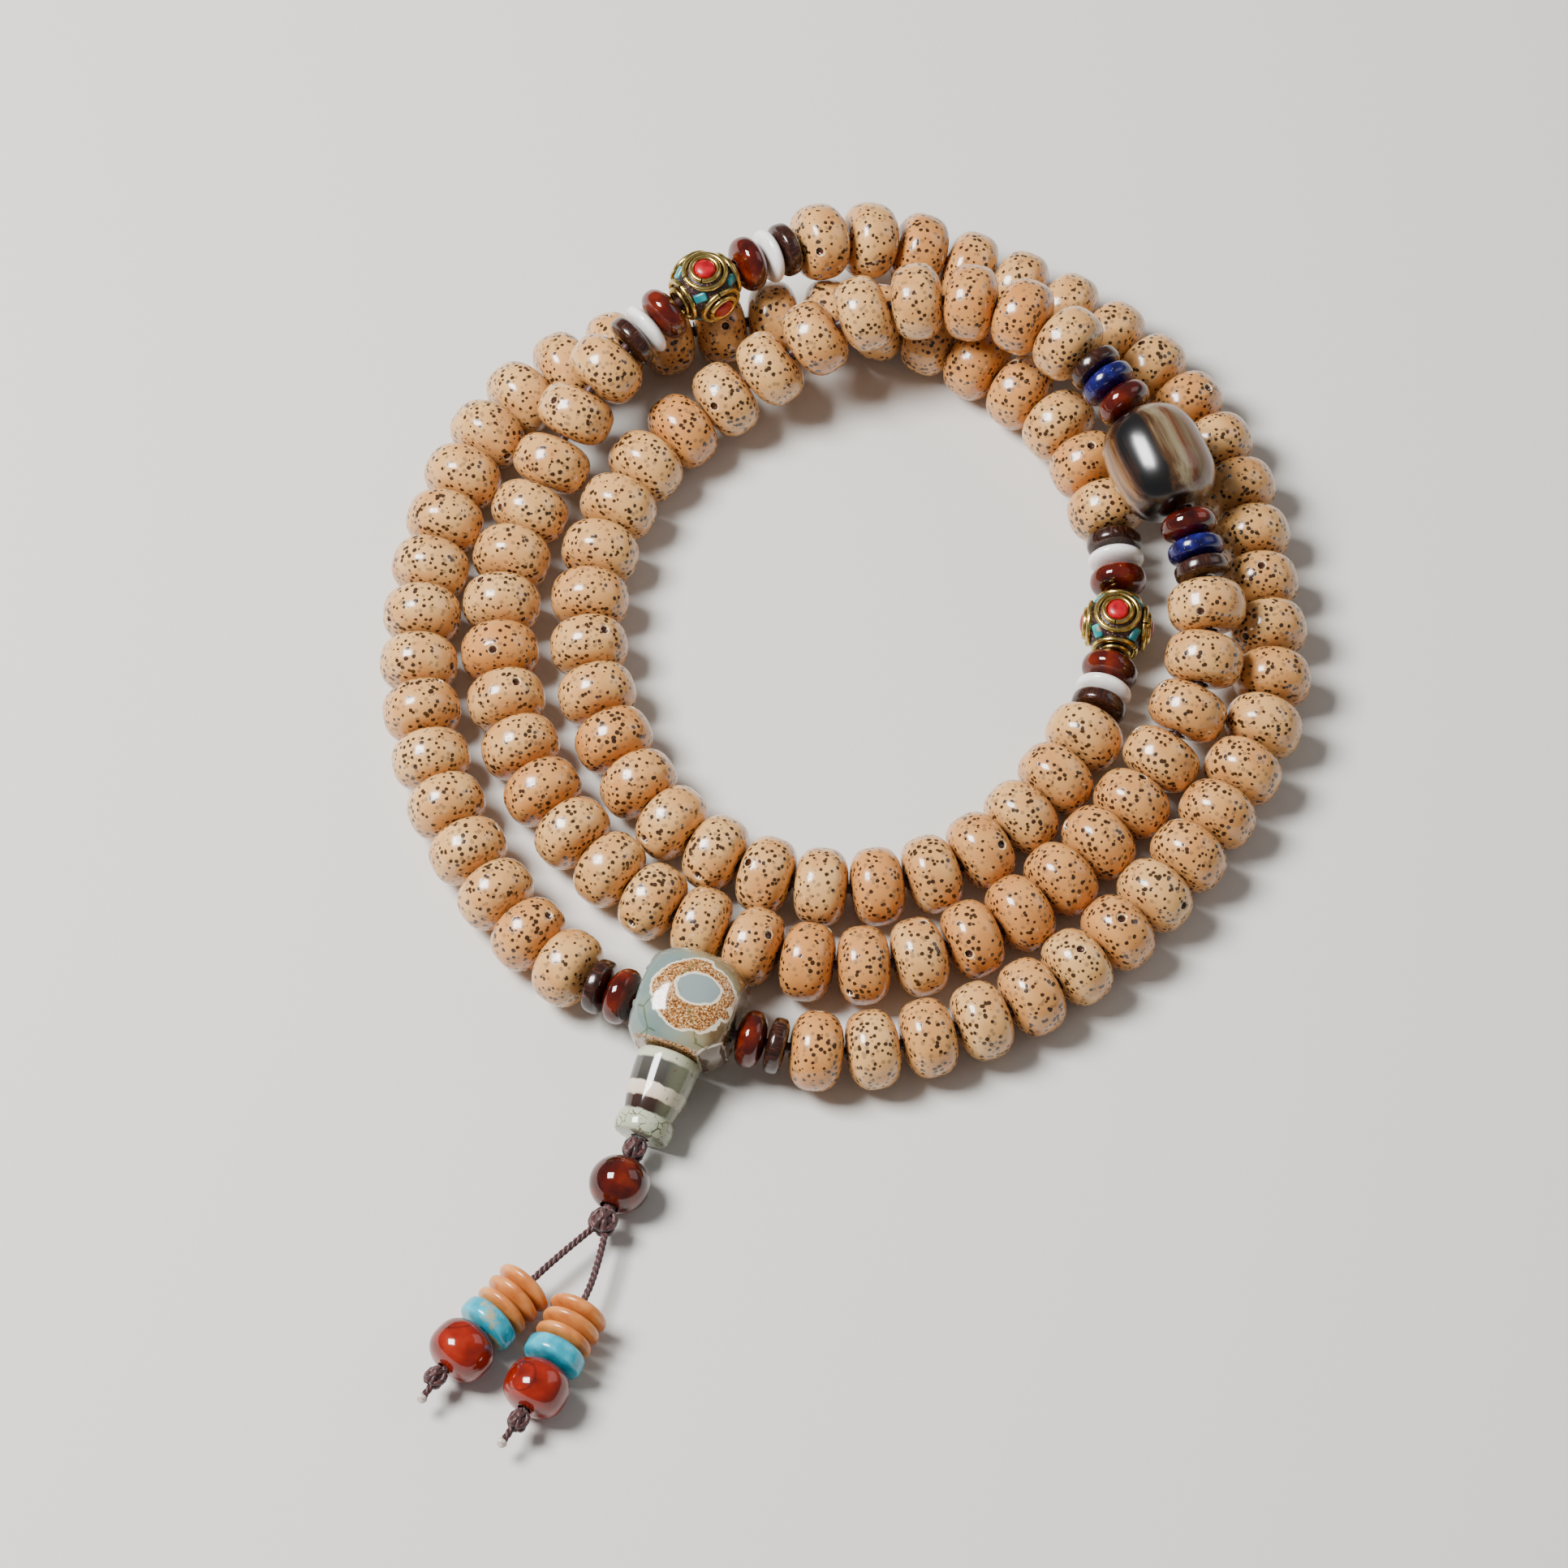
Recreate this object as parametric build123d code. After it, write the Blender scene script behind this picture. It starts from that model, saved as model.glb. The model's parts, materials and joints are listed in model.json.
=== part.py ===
from build123d import *
import math
import os
import numpy as np

# Prayer beads: 108 seeds on one closed string, lying in three turns on a table, with four markers
# (the guru bead, two inlaid brass balls, a horn barrel) and a pendant that ends in two short drops.
# Millimetres, +Z up, the table at z = 0, the pendant towards -Y.

# ---- Seeds -------------------------------------------------------------------------------------
SEED_DIAMETER = 10.0
SEED_LENGTH = 6.7
SEED_SQUARENESS = 2.8
SEEDS_PER_QUARTER = 27

# ---- String and the room round it --------------------------------------------------------------
STRING_DIAMETER = 1.3
BORE_ROOM = 0.45
BEAD_SPACE = 0.4
DISC_SPACE = 0.1
STRING_BORE = STRING_DIAMETER + 2 * BORE_ROOM

# ---- Spacers: diameter, length, squareness of the outline (2 is an ellipse, more is squarer) ----
SPACERS = {
    "carnelian": (7.3, 3.8, 2.4),
    "white": (7.2, 2.2, 2.4),
    "lapis": (7.3, 2.9, 3.0),
    "coconut": (7.1, 2.5, 3.6),
}

# ---- Inlaid brass balls: a resin core, wire rings on six sides, corals and chips between ---------
CORE_DIAMETER = 8.5
RING_WIRE = 0.62
RING_RISE = 0.15
OUTER_RING_DIAMETER = 5.3
INNER_RING_DIAMETER = 3.5
CORAL_DIAMETER = 2.5
CORAL_RISE = 0.3
CHIP_LENGTH = 1.4
CHIP_WIDTH = 0.8
CHIP_RISE = 0.12
INLAY_DEPTH = 0.9
RING_SPHERE = CORE_DIAMETER / 2 + RING_RISE
BALL_DIAMETER = 2 * RING_SPHERE + RING_WIRE
BALL_LENGTH = 2 * math.sqrt(RING_SPHERE**2 - (INNER_RING_DIAMETER / 2) ** 2) + RING_WIRE

# ---- Horn barrel -------------------------------------------------------------------------------
HORN_DIAMETER = 13.0
HORN_LENGTH = 14.5
HORN_SQUARENESS = 2.9

# ---- Guru bead: a drum with its axis up, flat where the string and the stupa bead meet it -------
GURU_WIDTH = 12.5
GURU_DIAMETER = 14.6
GURU_HEIGHT = 13.2
GURU_SQUARENESS = 2.7
GURU_FLAT_DIAMETER = 2.0
GURU_SET_BACK = 1.2
GURU_SEAT = 5.1
GURU_ROOM = 0.3
GURU_REACH = GURU_DIAMETER / 2 + GURU_SET_BACK + GURU_ROOM
CLOSING_KNOT_DIAMETER = 3.2
CAVITY_ROOM = 0.2

# ---- Stupa bead --------------------------------------------------------------------------------
STUPA_LENGTH = 11.0
STUPA_CROWN_DIAMETER = 8.1
STUPA_WAIST_DIAMETER = 6.3
STUPA_FLANGE_DIAMETER = 7.4
STUPA_FLANGE_LENGTH = 2.8

# ---- Pendant -----------------------------------------------------------------------------------
STEM_DIAMETER = 1.5
STEM_BORE = STEM_DIAMETER + 2 * BORE_ROOM
NECK_KNOT_DIAMETER = 3.3
NECK_KNOT_LENGTH = 2.9
NECK_SPACE = 0.2
PENDANT_BALL_DIAMETER = 7.6
SPLIT_KNOT_DIAMETER = 4.0
SPLIT_KNOT_LENGTH = 3.2
TABLE_SPACE = 0.03

# ---- Drops -------------------------------------------------------------------------------------
DROP_CORD_DIAMETER = 0.95
DROP_BORE_ROOM = 0.45
DROP_BORE = DROP_CORD_DIAMETER + 2 * DROP_BORE_ROOM
DROP_BEADS = {
    "orange_disc_1": (7.5, 1.9, 2.6),
    "orange_disc_2": (7.5, 1.9, 2.6),
    "orange_disc_3": (7.3, 1.9, 2.6),
    "turquoise_disc": (7.6, 2.8, 4.5),
    "red_barrel": (8.0, 6.6, 2.6),
}
SPLIT_KNOT_HEIGHT = 3.7
SPLIT_SLOT_HEIGHT = DROP_CORD_DIAMETER + 0.6
STACK_LEAD = 0.95
END_KNOT_DIAMETER = 2.9
END_KNOT_LENGTH = 2.7
TIP_DIAMETER = 1.2
TIP_LENGTH = 1.4

# ---- How the string lies -----------------------------------------------------------------------
# After each marker, the points that the string passes on its way round: x, y and the height of
# the bead there. The strand rests on the table, and on other strands where it crosses them.
LOW = 5.0
ROUTE = {
    "guru": [
        (-12, -36, 7), (-31, -24, LOW), (-42, -6, LOW), (-46, 15, LOW), (-43, 36, LOW),
        (-33, 54, LOW), (-14, 64, LOW), (7, 66, LOW), (26, 58, LOW), (40, 43, LOW),
    ],
    "first_ball": [
        (44, 21, LOW), (35, 0, LOW), (20, -15, LOW), (-1, -17, LOW), (-18, -3, LOW),
        (-25, 18, LOW), (-21, 39, LOW), (-7, 55, 7), (12, 60, 14), (33, 59, 14),
    ],
    "horn": [
        (50, 40, 14), (52, 17, 9), (45, -2, LOW), (31, -19, LOW), (12, -28, LOW),
        (-10, -23, LOW), (-26, -10, LOW), (-35, 10, LOW), (-34, 33, LOW), (-25, 51, 9),
    ],
    "second_ball": [
        (-11, 66, 15), (11, 74, 10), (31, 71, LOW), (49, 57, LOW), (59, 39, LOW),
        (60, 18, LOW), (56, -2, LOW), (45, -20, LOW), (29, -34, LOW), (9, -40, LOW),
    ],
}
MARKER_SPACERS = {
    "guru": ["carnelian", "coconut"],
    "first_ball": ["carnelian", "white", "coconut"],
    "horn": ["carnelian", "lapis", "coconut"],
    "second_ball": ["carnelian", "white", "coconut"],
}
MARKER_LENGTHS = {
    "guru": GURU_WIDTH,
    "first_ball": BALL_LENGTH,
    "horn": HORN_LENGTH,
    "second_ball": BALL_LENGTH,
}
MARKER_DIAMETERS = {
    "guru": GURU_HEIGHT,
    "first_ball": BALL_DIAMETER,
    "horn": HORN_DIAMETER,
    "second_ball": BALL_DIAMETER,
}
SEED_BEND = math.radians(14)
MARKER_BEND = math.radians(10)
SETTLE_STEPS = 700
SETTLE_PASSES = 5
TOUCH_SPACE = 0.1

# Points of each drop's cord, from the middle of the split knot: across, along and up.
DROP_ROUTES = {
    "left": [
        (-0.75, -0.3, 0.0), (-5.3, -4.4, 0.0), (-9.6, -8.9, 0.1), (-13.3, -13.1, 0.2),
        (-16.9, -17.3, 0.3), (-20.0, -21.1, 0.2), (-21.7, -23.5, -0.3),
    ],
    "right": [
        (0.35, -0.8, 0.0), (-0.6, -6.3, 0.0), (-2.9, -12.3, 0.1), (-5.3, -17.4, 0.2),
        (-7.8, -22.4, 0.3), (-10.2, -26.9, 0.2), (-11.9, -29.4, -0.3),
    ],
}


def outline_point(diameter, length, squareness, angle):
    """A point of a bead's outline: radius from the axis and place along it."""
    power = 2 / squareness
    radius = diameter / 2 * math.cos(angle) ** power
    along = length / 2 * abs(math.sin(angle)) ** power
    return radius, math.copysign(along, angle)


def bead(diameter, length, bore, squareness, points=9):
    """A bead turned about Z, centred on the origin, with a through bore."""
    mouth = math.acos((bore / diameter) ** (squareness / 2))
    angles = [mouth * (2 * step / (points - 1) - 1) for step in range(points)]
    outline = [outline_point(diameter, length, squareness, angle) for angle in angles]
    outline = [(radius, 0, along) for radius, along in outline]
    edges = Spline(*outline) + Line(outline[-1], outline[0])
    return revolve(make_face(edges), Axis.Z)


def seed():
    return bead(SEED_DIAMETER, SEED_LENGTH, STRING_BORE, SEED_SQUARENESS)


# ---- The string's links, in order ----------------------------------------------------------------
class Link:
    """One straight stretch of the string: a seed, a marker or a stack of spacers."""

    def __init__(self, name, pieces, bend):
        self.name = name
        self.pieces = pieces
        self.bend = bend
        self.length = sum(length for _, _, length in pieces) + DISC_SPACE * (len(pieces) - 1)

    def places(self):
        """Each piece's name and diameter, and where its middle lies from the link's middle."""
        start = -self.length / 2
        for name, diameter, length in self.pieces:
            yield name, diameter, length, start + length / 2
            start += length + DISC_SPACE


def spacer_link(marker, side):
    names = MARKER_SPACERS[marker]
    if side == "before":
        names = names[::-1]
    pieces = [(f"{name}_{side}_{marker}", SPACERS[name][0], SPACERS[name][1]) for name in names]
    return Link(f"{side}_{marker}", pieces, MARKER_BEND)


def string_links():
    """The whole string, from the guru bead round to the spacers that meet it again."""
    links = []
    markers = list(ROUTE)
    for index, marker in enumerate(markers):
        following = markers[(index + 1) % len(markers)]
        bend = MARKER_BEND if marker in ("guru", "horn") else SEED_BEND
        piece = (marker, MARKER_DIAMETERS[marker], MARKER_LENGTHS[marker])
        links.append(Link(marker, [piece], bend))
        links.append(spacer_link(marker, "after"))
        for number in range(SEEDS_PER_QUARTER):
            piece = (f"seeds_{index + 1}", SEED_DIAMETER, SEED_LENGTH)
            links.append(Link(f"seed_{index + 1}_{number + 1}", [piece], SEED_BEND))
        links.append(spacer_link(following, "before"))
    return links


def route_targets(links, lengths):
    """Where each link should lie: on smooth lines through the route's points, marker to marker."""
    middles = np.cumsum(lengths) - lengths / 2
    starts = [index for index, link in enumerate(links) if link.name in ROUTE]
    points = list(ROUTE.values())
    targets, route_length = [], 0
    for quarter, start in enumerate(starts):
        last = quarter + 1 == len(starts)
        line = Spline(*points[quarter], points[0 if last else quarter + 1][0])
        finish = middles[0] + lengths.sum() if last else middles[starts[quarter + 1]]
        stop = len(links) if last else starts[quarter + 1]
        shares = (middles[start:stop] - middles[start]) / (finish - middles[start])
        targets += [tuple(line @ share) for share in shares]
        route_length += line.length
    targets = np.array(targets)
    centre = targets[:, :2].mean(axis=0)
    targets[:, :2] = centre + (targets[:, :2] - centre) * lengths.sum() / route_length
    print(f"route {route_length:.1f} mm, string {lengths.sum():.1f} mm")
    return targets


def contact_reach(name, size):
    """How far a piece gets from its middle, which for a seed or the guru bead is past its side."""
    if name == "guru":
        return GURU_REACH
    if name.startswith("seeds"):
        angles = [math.radians(degrees) for degrees in range(0, 90, 5)]
        outline = [outline_point(SEED_DIAMETER, SEED_LENGTH, SEED_SQUARENESS, angle) for angle in angles]
        return max(math.hypot(*point) for point in outline)
    return size


def contact_balls(links, lengths):
    """Balls round each link's pieces: the link, the place along it, the radius and its own height."""
    link_of, share, radius, height = [], [], [], []
    for index, link in enumerate(links):
        for name, diameter, length, middle in link.places():
            if name == "horn":
                places = [(middle - length / 9, diameter / 2), (middle + length / 9, diameter / 2)]
            elif len(link.pieces) == 1:
                places = [(middle, diameter / 2)]
            else:
                places = [(middle, math.hypot(diameter, length) / 2)]
            for place, size in places:
                link_of.append(index)
                share.append(place / lengths[index])
                radius.append(contact_reach(name, size))
                height.append(size)
    return np.array(link_of), np.array(share), np.array(radius), np.array(height)


def spread(joints, link_of, share, moves):
    """Moves of points on links, handed on to the two joints that hold each link."""
    total = np.zeros_like(joints)
    np.add.at(total, link_of, moves * (0.5 - share)[:, None])
    np.add.at(total, (link_of + 1) % len(joints), moves * (0.5 + share)[:, None])
    return total


def push_apart(joints, balls, pairs):
    link_of, share, radius, _ = balls
    first, second = pairs
    following = np.roll(joints, -1, axis=0)
    middles = joints[link_of] * (0.5 - share)[:, None] + following[link_of] * (0.5 + share)[:, None]
    away = middles[second] - middles[first]
    distance = np.linalg.norm(away, axis=1)
    deep = radius[first] + radius[second] + TOUCH_SPACE - distance
    hit = deep > 0
    push = (0.5 * deep[hit] / distance[hit])[:, None] * away[hit]
    one, two = first[hit], second[hit]
    moves = spread(joints, link_of[one], share[one], -push)
    return joints + moves + spread(joints, link_of[two], share[two], push)


def ease_bends(joints, limits):
    way = np.roll(joints, -1, axis=0) - joints
    way = way / np.linalg.norm(way, axis=1)[:, None]
    bend = np.arccos(np.clip((way * np.roll(way, 1, axis=0)).sum(axis=1), -1, 1))
    excess = np.maximum(0, bend - limits) / np.maximum(bend, 1e-6)
    middle = (np.roll(joints, 1, axis=0) + np.roll(joints, -1, axis=0)) / 2
    ease = (middle - joints) * (0.5 * excess)[:, None]
    return joints + ease / 2 - (np.roll(ease, 1, axis=0) + np.roll(ease, -1, axis=0)) / 4


def lift_to_table(joints, balls):
    link_of, share, _, height = balls
    following = np.roll(joints, -1, axis=0)
    middle = joints[link_of, 2] * (0.5 - share) + following[link_of, 2] * (0.5 + share)
    low = np.zeros(len(joints))
    np.maximum.at(low, link_of, height - middle)
    joints = joints.copy()
    joints[:, 2] += np.maximum(low, np.roll(low, 1)) / 2
    return joints


def keep_lengths(joints, lengths):
    joints = joints.copy()
    for turn in (0, 1, 0, 1):
        first = np.arange(turn, len(joints), 2)
        second = (first + 1) % len(joints)
        span = joints[second] - joints[first]
        distance = np.linalg.norm(span, axis=1)
        share = (0.5 * (distance - lengths[first]) / distance)[:, None] * span
        joints[first] += share
        joints[second] -= share
    return joints


def lay_string(links):
    """Lay the string down: the points between links, where the string bends."""
    lengths = np.array([link.length + BEAD_SPACE for link in links])
    bends = np.array([link.bend for link in links])
    limits = np.minimum(bends, np.roll(bends, 1))
    targets = route_targets(links, lengths)
    joints = (targets + np.roll(targets, 1, axis=0)) / 2
    balls = contact_balls(links, lengths)
    first, second = np.triu_indices(len(balls[0]), 1)
    between = np.abs(balls[0][first] - balls[0][second])
    between = np.minimum(between, len(links) - between)
    pairs = first[between > 1], second[between > 1]
    for step in range(SETTLE_STEPS):
        hold = max(0.0, 1 - 1.25 * step / SETTLE_STEPS)
        drift = (targets - (joints + np.roll(joints, -1, axis=0)) / 2) * 0.06 * hold
        drift[:, 2] *= 0.1 * hold
        joints = joints + (drift + np.roll(drift, 1, axis=0)) / 2
        joints[:, 2] -= 0.003 + 0.03 * hold
        for _ in range(SETTLE_PASSES):
            joints = push_apart(joints, balls, pairs)
            joints = ease_bends(joints, limits)
            joints = lift_to_table(joints, balls)
            joints = keep_lengths(joints, lengths)
    return joints, lengths


# ---- Pieces ------------------------------------------------------------------------------------
def along(origin, direction, up=(0, 0, 1)):
    """A frame with Z along a direction and X as near to up as it can be."""
    way = Vector(*direction).normalized()
    raised = Vector(*up) - way * Vector(*up).dot(way)
    return Plane(origin=tuple(origin), x_dir=raised, z_dir=way)


def ring(diameter):
    """A ring of wire half sunk in the core, round +Z."""
    height = math.sqrt(RING_SPHERE**2 - (diameter / 2) ** 2)
    return Pos(0, 0, height) * Torus(diameter / 2, RING_WIRE / 2)


def inlaid_ball():
    """The four kinds of piece of a brass ball, with the string's bore along Z."""
    equator = [Rot(0, 90, 0), Rot(90, 0, 0), Rot(0, -90, 0), Rot(-90, 0, 0)]
    sides = [Rot(0, 0, 0), Rot(180, 0, 0)] + equator
    ring_sizes = (OUTER_RING_DIAMETER, INNER_RING_DIAMETER)
    rings = [side * ring(size) for side in sides for size in ring_sizes]
    core_radius = CORE_DIAMETER / 2
    bottom = core_radius - INLAY_DEPTH
    stud = Pos(0, 0, bottom + core_radius / 2) * Cylinder(CORAL_DIAMETER / 2, core_radius)
    coral = stud & Sphere(core_radius + CORAL_RISE)
    corals = [side * coral for side in equator]
    block = Pos(0, 0, bottom + core_radius / 2) * Box(CHIP_LENGTH, CHIP_WIDTH, core_radius)
    chip = block & Sphere(core_radius + CHIP_RISE)
    tilt = math.degrees(math.acos(1 / math.sqrt(3)))
    leans = (tilt, 180 - tilt)
    corners = [Rot(0, 0, 45 + 90 * turn) * Rot(0, lean, 0) for turn in range(4) for lean in leans]
    chips = [corner * chip for corner in corners]
    # The sphere's own seam and poles are turned away from every ring and pocket.
    core = Rot(20, 30, 10) * Sphere(core_radius) - Cylinder(STRING_BORE / 2, CORE_DIAMETER * 2)
    pockets = [side * stud for side in equator] + [corner * block for corner in corners]
    for piece in pockets + rings:
        core -= piece
    return {"core": [core], "rings": rings, "corals": corals, "chips": chips}


def drum(diameter, height, squareness, flat_diameter):
    """A drum turned about Z, with a small flat in the middle of each end."""
    edge = math.acos((flat_diameter / diameter) ** (squareness / 2))
    angles = [edge * step / 5 for step in range(-5, 6)]
    outline = [outline_point(diameter, height, squareness, angle) for angle in angles]
    outline = [(radius, 0, along) for radius, along in outline]
    bottom, top = outline[0], outline[-1]
    ends = Polyline(top, (0, 0, top[2]), (0, 0, bottom[2]), bottom)
    return revolve(make_face(Spline(*outline) + ends), Axis.Z)


def guru_bead():
    """The three-hole bead: string along X, stupa bead towards -Y, eye on top."""
    depth = GURU_DIAMETER + 2 * GURU_SET_BACK
    body = drum(GURU_DIAMETER, GURU_HEIGHT, GURU_SQUARENESS, GURU_FLAT_DIAMETER)
    seats = Pos(0, depth / 2 - GURU_SEAT, 0) * Box(GURU_WIDTH, depth, 2 * GURU_HEIGHT)
    body = (Pos(0, GURU_SET_BACK, 0) * body) & seats
    body -= Rot(0, 90, 0) * Cylinder(STRING_BORE / 2, 2 * GURU_WIDTH)
    body -= Pos(0, -depth / 2, 0) * Rot(90, 0, 0) * Cylinder(STEM_BORE / 2, depth)
    # The cavity's own seam and poles are turned away from the bores.
    return body - Rot(10, 20, 30) * Sphere(CLOSING_KNOT_DIAMETER / 2 + CAVITY_ROOM)


def stupa_bead():
    """The turned bead under the guru bead, from its crown at the origin along +Z."""
    crown, waist = STUPA_CROWN_DIAMETER / 2, STUPA_WAIST_DIAMETER / 2
    flange, bore = STUPA_FLANGE_DIAMETER / 2, STEM_BORE / 2
    neck = STUPA_LENGTH - STUPA_FLANGE_LENGTH
    outline = Line((bore, 0, 0), (crown * 0.86, 0, 0))
    outline += ThreePointArc((crown * 0.86, 0, 0), (crown * 0.96, 0, 0.2), (crown, 0, 0.7))
    outline += Spline(
        (crown, 0, 0.7), (crown * 0.98, 0, neck * 0.35), (waist * 1.1, 0, neck * 0.8), (waist, 0, neck)
    )
    outline += ThreePointArc(
        (waist, 0, neck), (flange, 0, neck + STUPA_FLANGE_LENGTH / 2), (waist * 0.88, 0, STUPA_LENGTH)
    )
    outline += Line((waist * 0.88, 0, STUPA_LENGTH), (bore, 0, STUPA_LENGTH))
    outline += Line((bore, 0, STUPA_LENGTH), (bore, 0, 0))
    return revolve(make_face(outline), Axis.Z)


def corner_radii(points):
    """Each corner's arc: as large as the two runs beside it allow."""
    radii = []
    for before, corner, after in zip(points, points[1:], points[2:]):
        first, second = Vector(*corner) - Vector(*before), Vector(*after) - Vector(*corner)
        half_turn = math.radians(first.get_angle(second)) / 2
        radii.append(0.45 * min(first.length, second.length) / math.tan(half_turn))
    return radii


def cord(points, diameter, name):
    """A cord along straight runs joined by arcs."""
    radii = corner_radii(points)
    print(f"{name}: arc radii {min(radii):.1f} to {max(radii):.1f} mm")
    path = FilletPolyline(*points, radius=radii)
    start = Plane(origin=path @ 0, z_dir=path % 0)
    return sweep(start * Circle(diameter / 2), path=path)


# ---- Assembly: every node's solids, and the axes that pieces turn or slide on --------------------
class Beads:
    """The whole object. nodes holds each node's solids; axes holds each joint's point and axis."""

    def __init__(self):
        self.nodes = {}
        self.axes = {}
        self.links = string_links()
        self.joints, lengths = lay_string(self.links)
        self.ends = np.roll(self.joints, -1, axis=0)
        self.thread_string()
        self.hang_pendant()
        for side in DROP_ROUTES:
            self.lay_drop(side)
        self.centre_on_table()

    def add(self, name, solid):
        self.nodes.setdefault(name, []).append(solid)

    def thread_string(self):
        """Every bead on the string, and the string itself with its closing knot."""
        ball = inlaid_ball()
        horn = bead(HORN_DIAMETER, HORN_LENGTH, STRING_BORE, HORN_SQUARENESS)
        for link, start, end in zip(self.links, self.joints, self.ends):
            middle, direction = (start + end) / 2, end - start
            frame = along(middle, direction)
            for name, diameter, length, place in link.places():
                if name in ("first_ball", "second_ball"):
                    for kind, solids in ball.items():
                        for solid in solids:
                            self.add(f"{name}_{kind}", frame * solid)
                    self.axes[name] = (middle, direction)
                elif name == "horn":
                    self.add("horn_barrel", frame * horn)
                    self.axes["horn_barrel"] = (middle, direction)
                elif name.startswith("seeds"):
                    self.add(name, frame * seed())
                elif name != "guru":
                    spacer = bead(diameter, length, STRING_BORE, SPACERS[name.split("_")[0]][2])
                    self.add(name, frame * Pos(0, 0, place) * spacer)
                    self.axes[name] = (frame.from_local_coords((0, 0, place)), direction)
        guru = (self.joints[0] + self.ends[0]) / 2
        step = (self.ends[0] - self.joints[0]) * 0.005
        corners = [tuple(point) for point in self.joints[1:]] + [tuple(self.joints[0])]
        points = [tuple(guru + step)] + corners + [tuple(guru - step)]
        self.add("string", cord(points, STRING_DIAMETER, "string"))
        self.guru = Vector(*guru)
        self.across = Vector(*(self.ends[0] - self.joints[0])).normalized()

    def hang_pendant(self):
        """Guru bead, stupa bead, knots and the round bead, laid out along the pendant."""
        flange_middle = GURU_SEAT + DISC_SPACE + STUPA_LENGTH - STUPA_FLANGE_LENGTH / 2
        drop = self.guru.Z - STUPA_FLANGE_DIAMETER / 2 - TABLE_SPACE
        lean = math.asin(drop / flange_middle)
        level = Vector(0, 0, 1).cross(self.across).normalized() * -1
        if level.Y > 0:
            level = level * -1
        down = level * math.cos(lean) - Vector(0, 0, 1) * math.sin(lean)
        sideways = down.cross(Vector(0, 0, 1)).normalized() * -1
        guru_frame = Plane(origin=self.guru, x_dir=sideways, z_dir=sideways.cross(down * -1))
        self.add("guru_bead", guru_frame * guru_bead())
        self.add("closing_knot", Pos(*self.guru) * Sphere(CLOSING_KNOT_DIAMETER / 2))
        crown = self.guru + down * (GURU_SEAT + DISC_SPACE)
        mouth = crown + down * STUPA_LENGTH
        self.add("stupa_bead", along(crown, down) * stupa_bead())
        self.axes["stupa_bead"] = (crown, down)
        stem_start = self.guru + down * (CLOSING_KNOT_DIAMETER / 2 - DISC_SPACE)
        stem_length = (mouth - stem_start).length
        stem = Cylinder(STEM_DIAMETER / 2, stem_length, align=(Align.CENTER, Align.CENTER, Align.MIN))
        self.add("stem_cord", along(stem_start, down) * stem)
        reach = NECK_SPACE + NECK_KNOT_LENGTH + 2 * DISC_SPACE
        reach += PENDANT_BALL_DIAMETER + SPLIT_KNOT_LENGTH / 2
        rise = SPLIT_KNOT_HEIGHT - mouth.Z
        lean = math.asin(rise / reach)
        onward = level * math.cos(lean) + Vector(0, 0, 1) * math.sin(lean)
        knot = bead(NECK_KNOT_DIAMETER, NECK_KNOT_LENGTH, 0, 2)
        knot_middle = mouth + onward * (NECK_SPACE + NECK_KNOT_LENGTH / 2)
        self.add("neck_knot", along(knot_middle, onward) * knot)
        self.axes["neck_knot"] = (mouth, Vector(0, 0, 1))
        knot_end = knot_middle + onward * (NECK_KNOT_LENGTH / 2 + DISC_SPACE)
        self.axes["pendant_cord"] = (knot_end, level.cross(Vector(0, 0, 1)))
        ball_middle = knot_end + onward * (PENDANT_BALL_DIAMETER / 2)
        ball_middle = Vector(ball_middle.X, ball_middle.Y, PENDANT_BALL_DIAMETER / 2 + TABLE_SPACE)
        ball = Sphere(PENDANT_BALL_DIAMETER / 2) - Cylinder(STEM_BORE / 2, 2 * PENDANT_BALL_DIAMETER)
        self.add("carnelian_ball", along(ball_middle, onward) * ball)
        self.axes["carnelian_ball"] = (ball_middle, onward)
        self.split = mouth + onward * reach
        cord_end = self.split - onward * (SPLIT_KNOT_LENGTH / 2 - DISC_SPACE)
        length = (cord_end - knot_end).length
        pendant = Cylinder(STEM_DIAMETER / 2, length, align=(Align.CENTER, Align.CENTER, Align.MIN))
        self.add("pendant_cord", along(knot_end, onward) * pendant)
        split_knot = bead(SPLIT_KNOT_DIAMETER, SPLIT_KNOT_LENGTH, 0, 2.2)
        slot = Box(SPLIT_SLOT_HEIGHT, 2 * SPLIT_KNOT_DIAMETER, 2 * SPLIT_KNOT_LENGTH)
        slot = Pos(0, 0, SPLIT_KNOT_LENGTH) * slot
        self.add("split_knot", along(self.split, onward) * (split_knot - slot))

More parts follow.
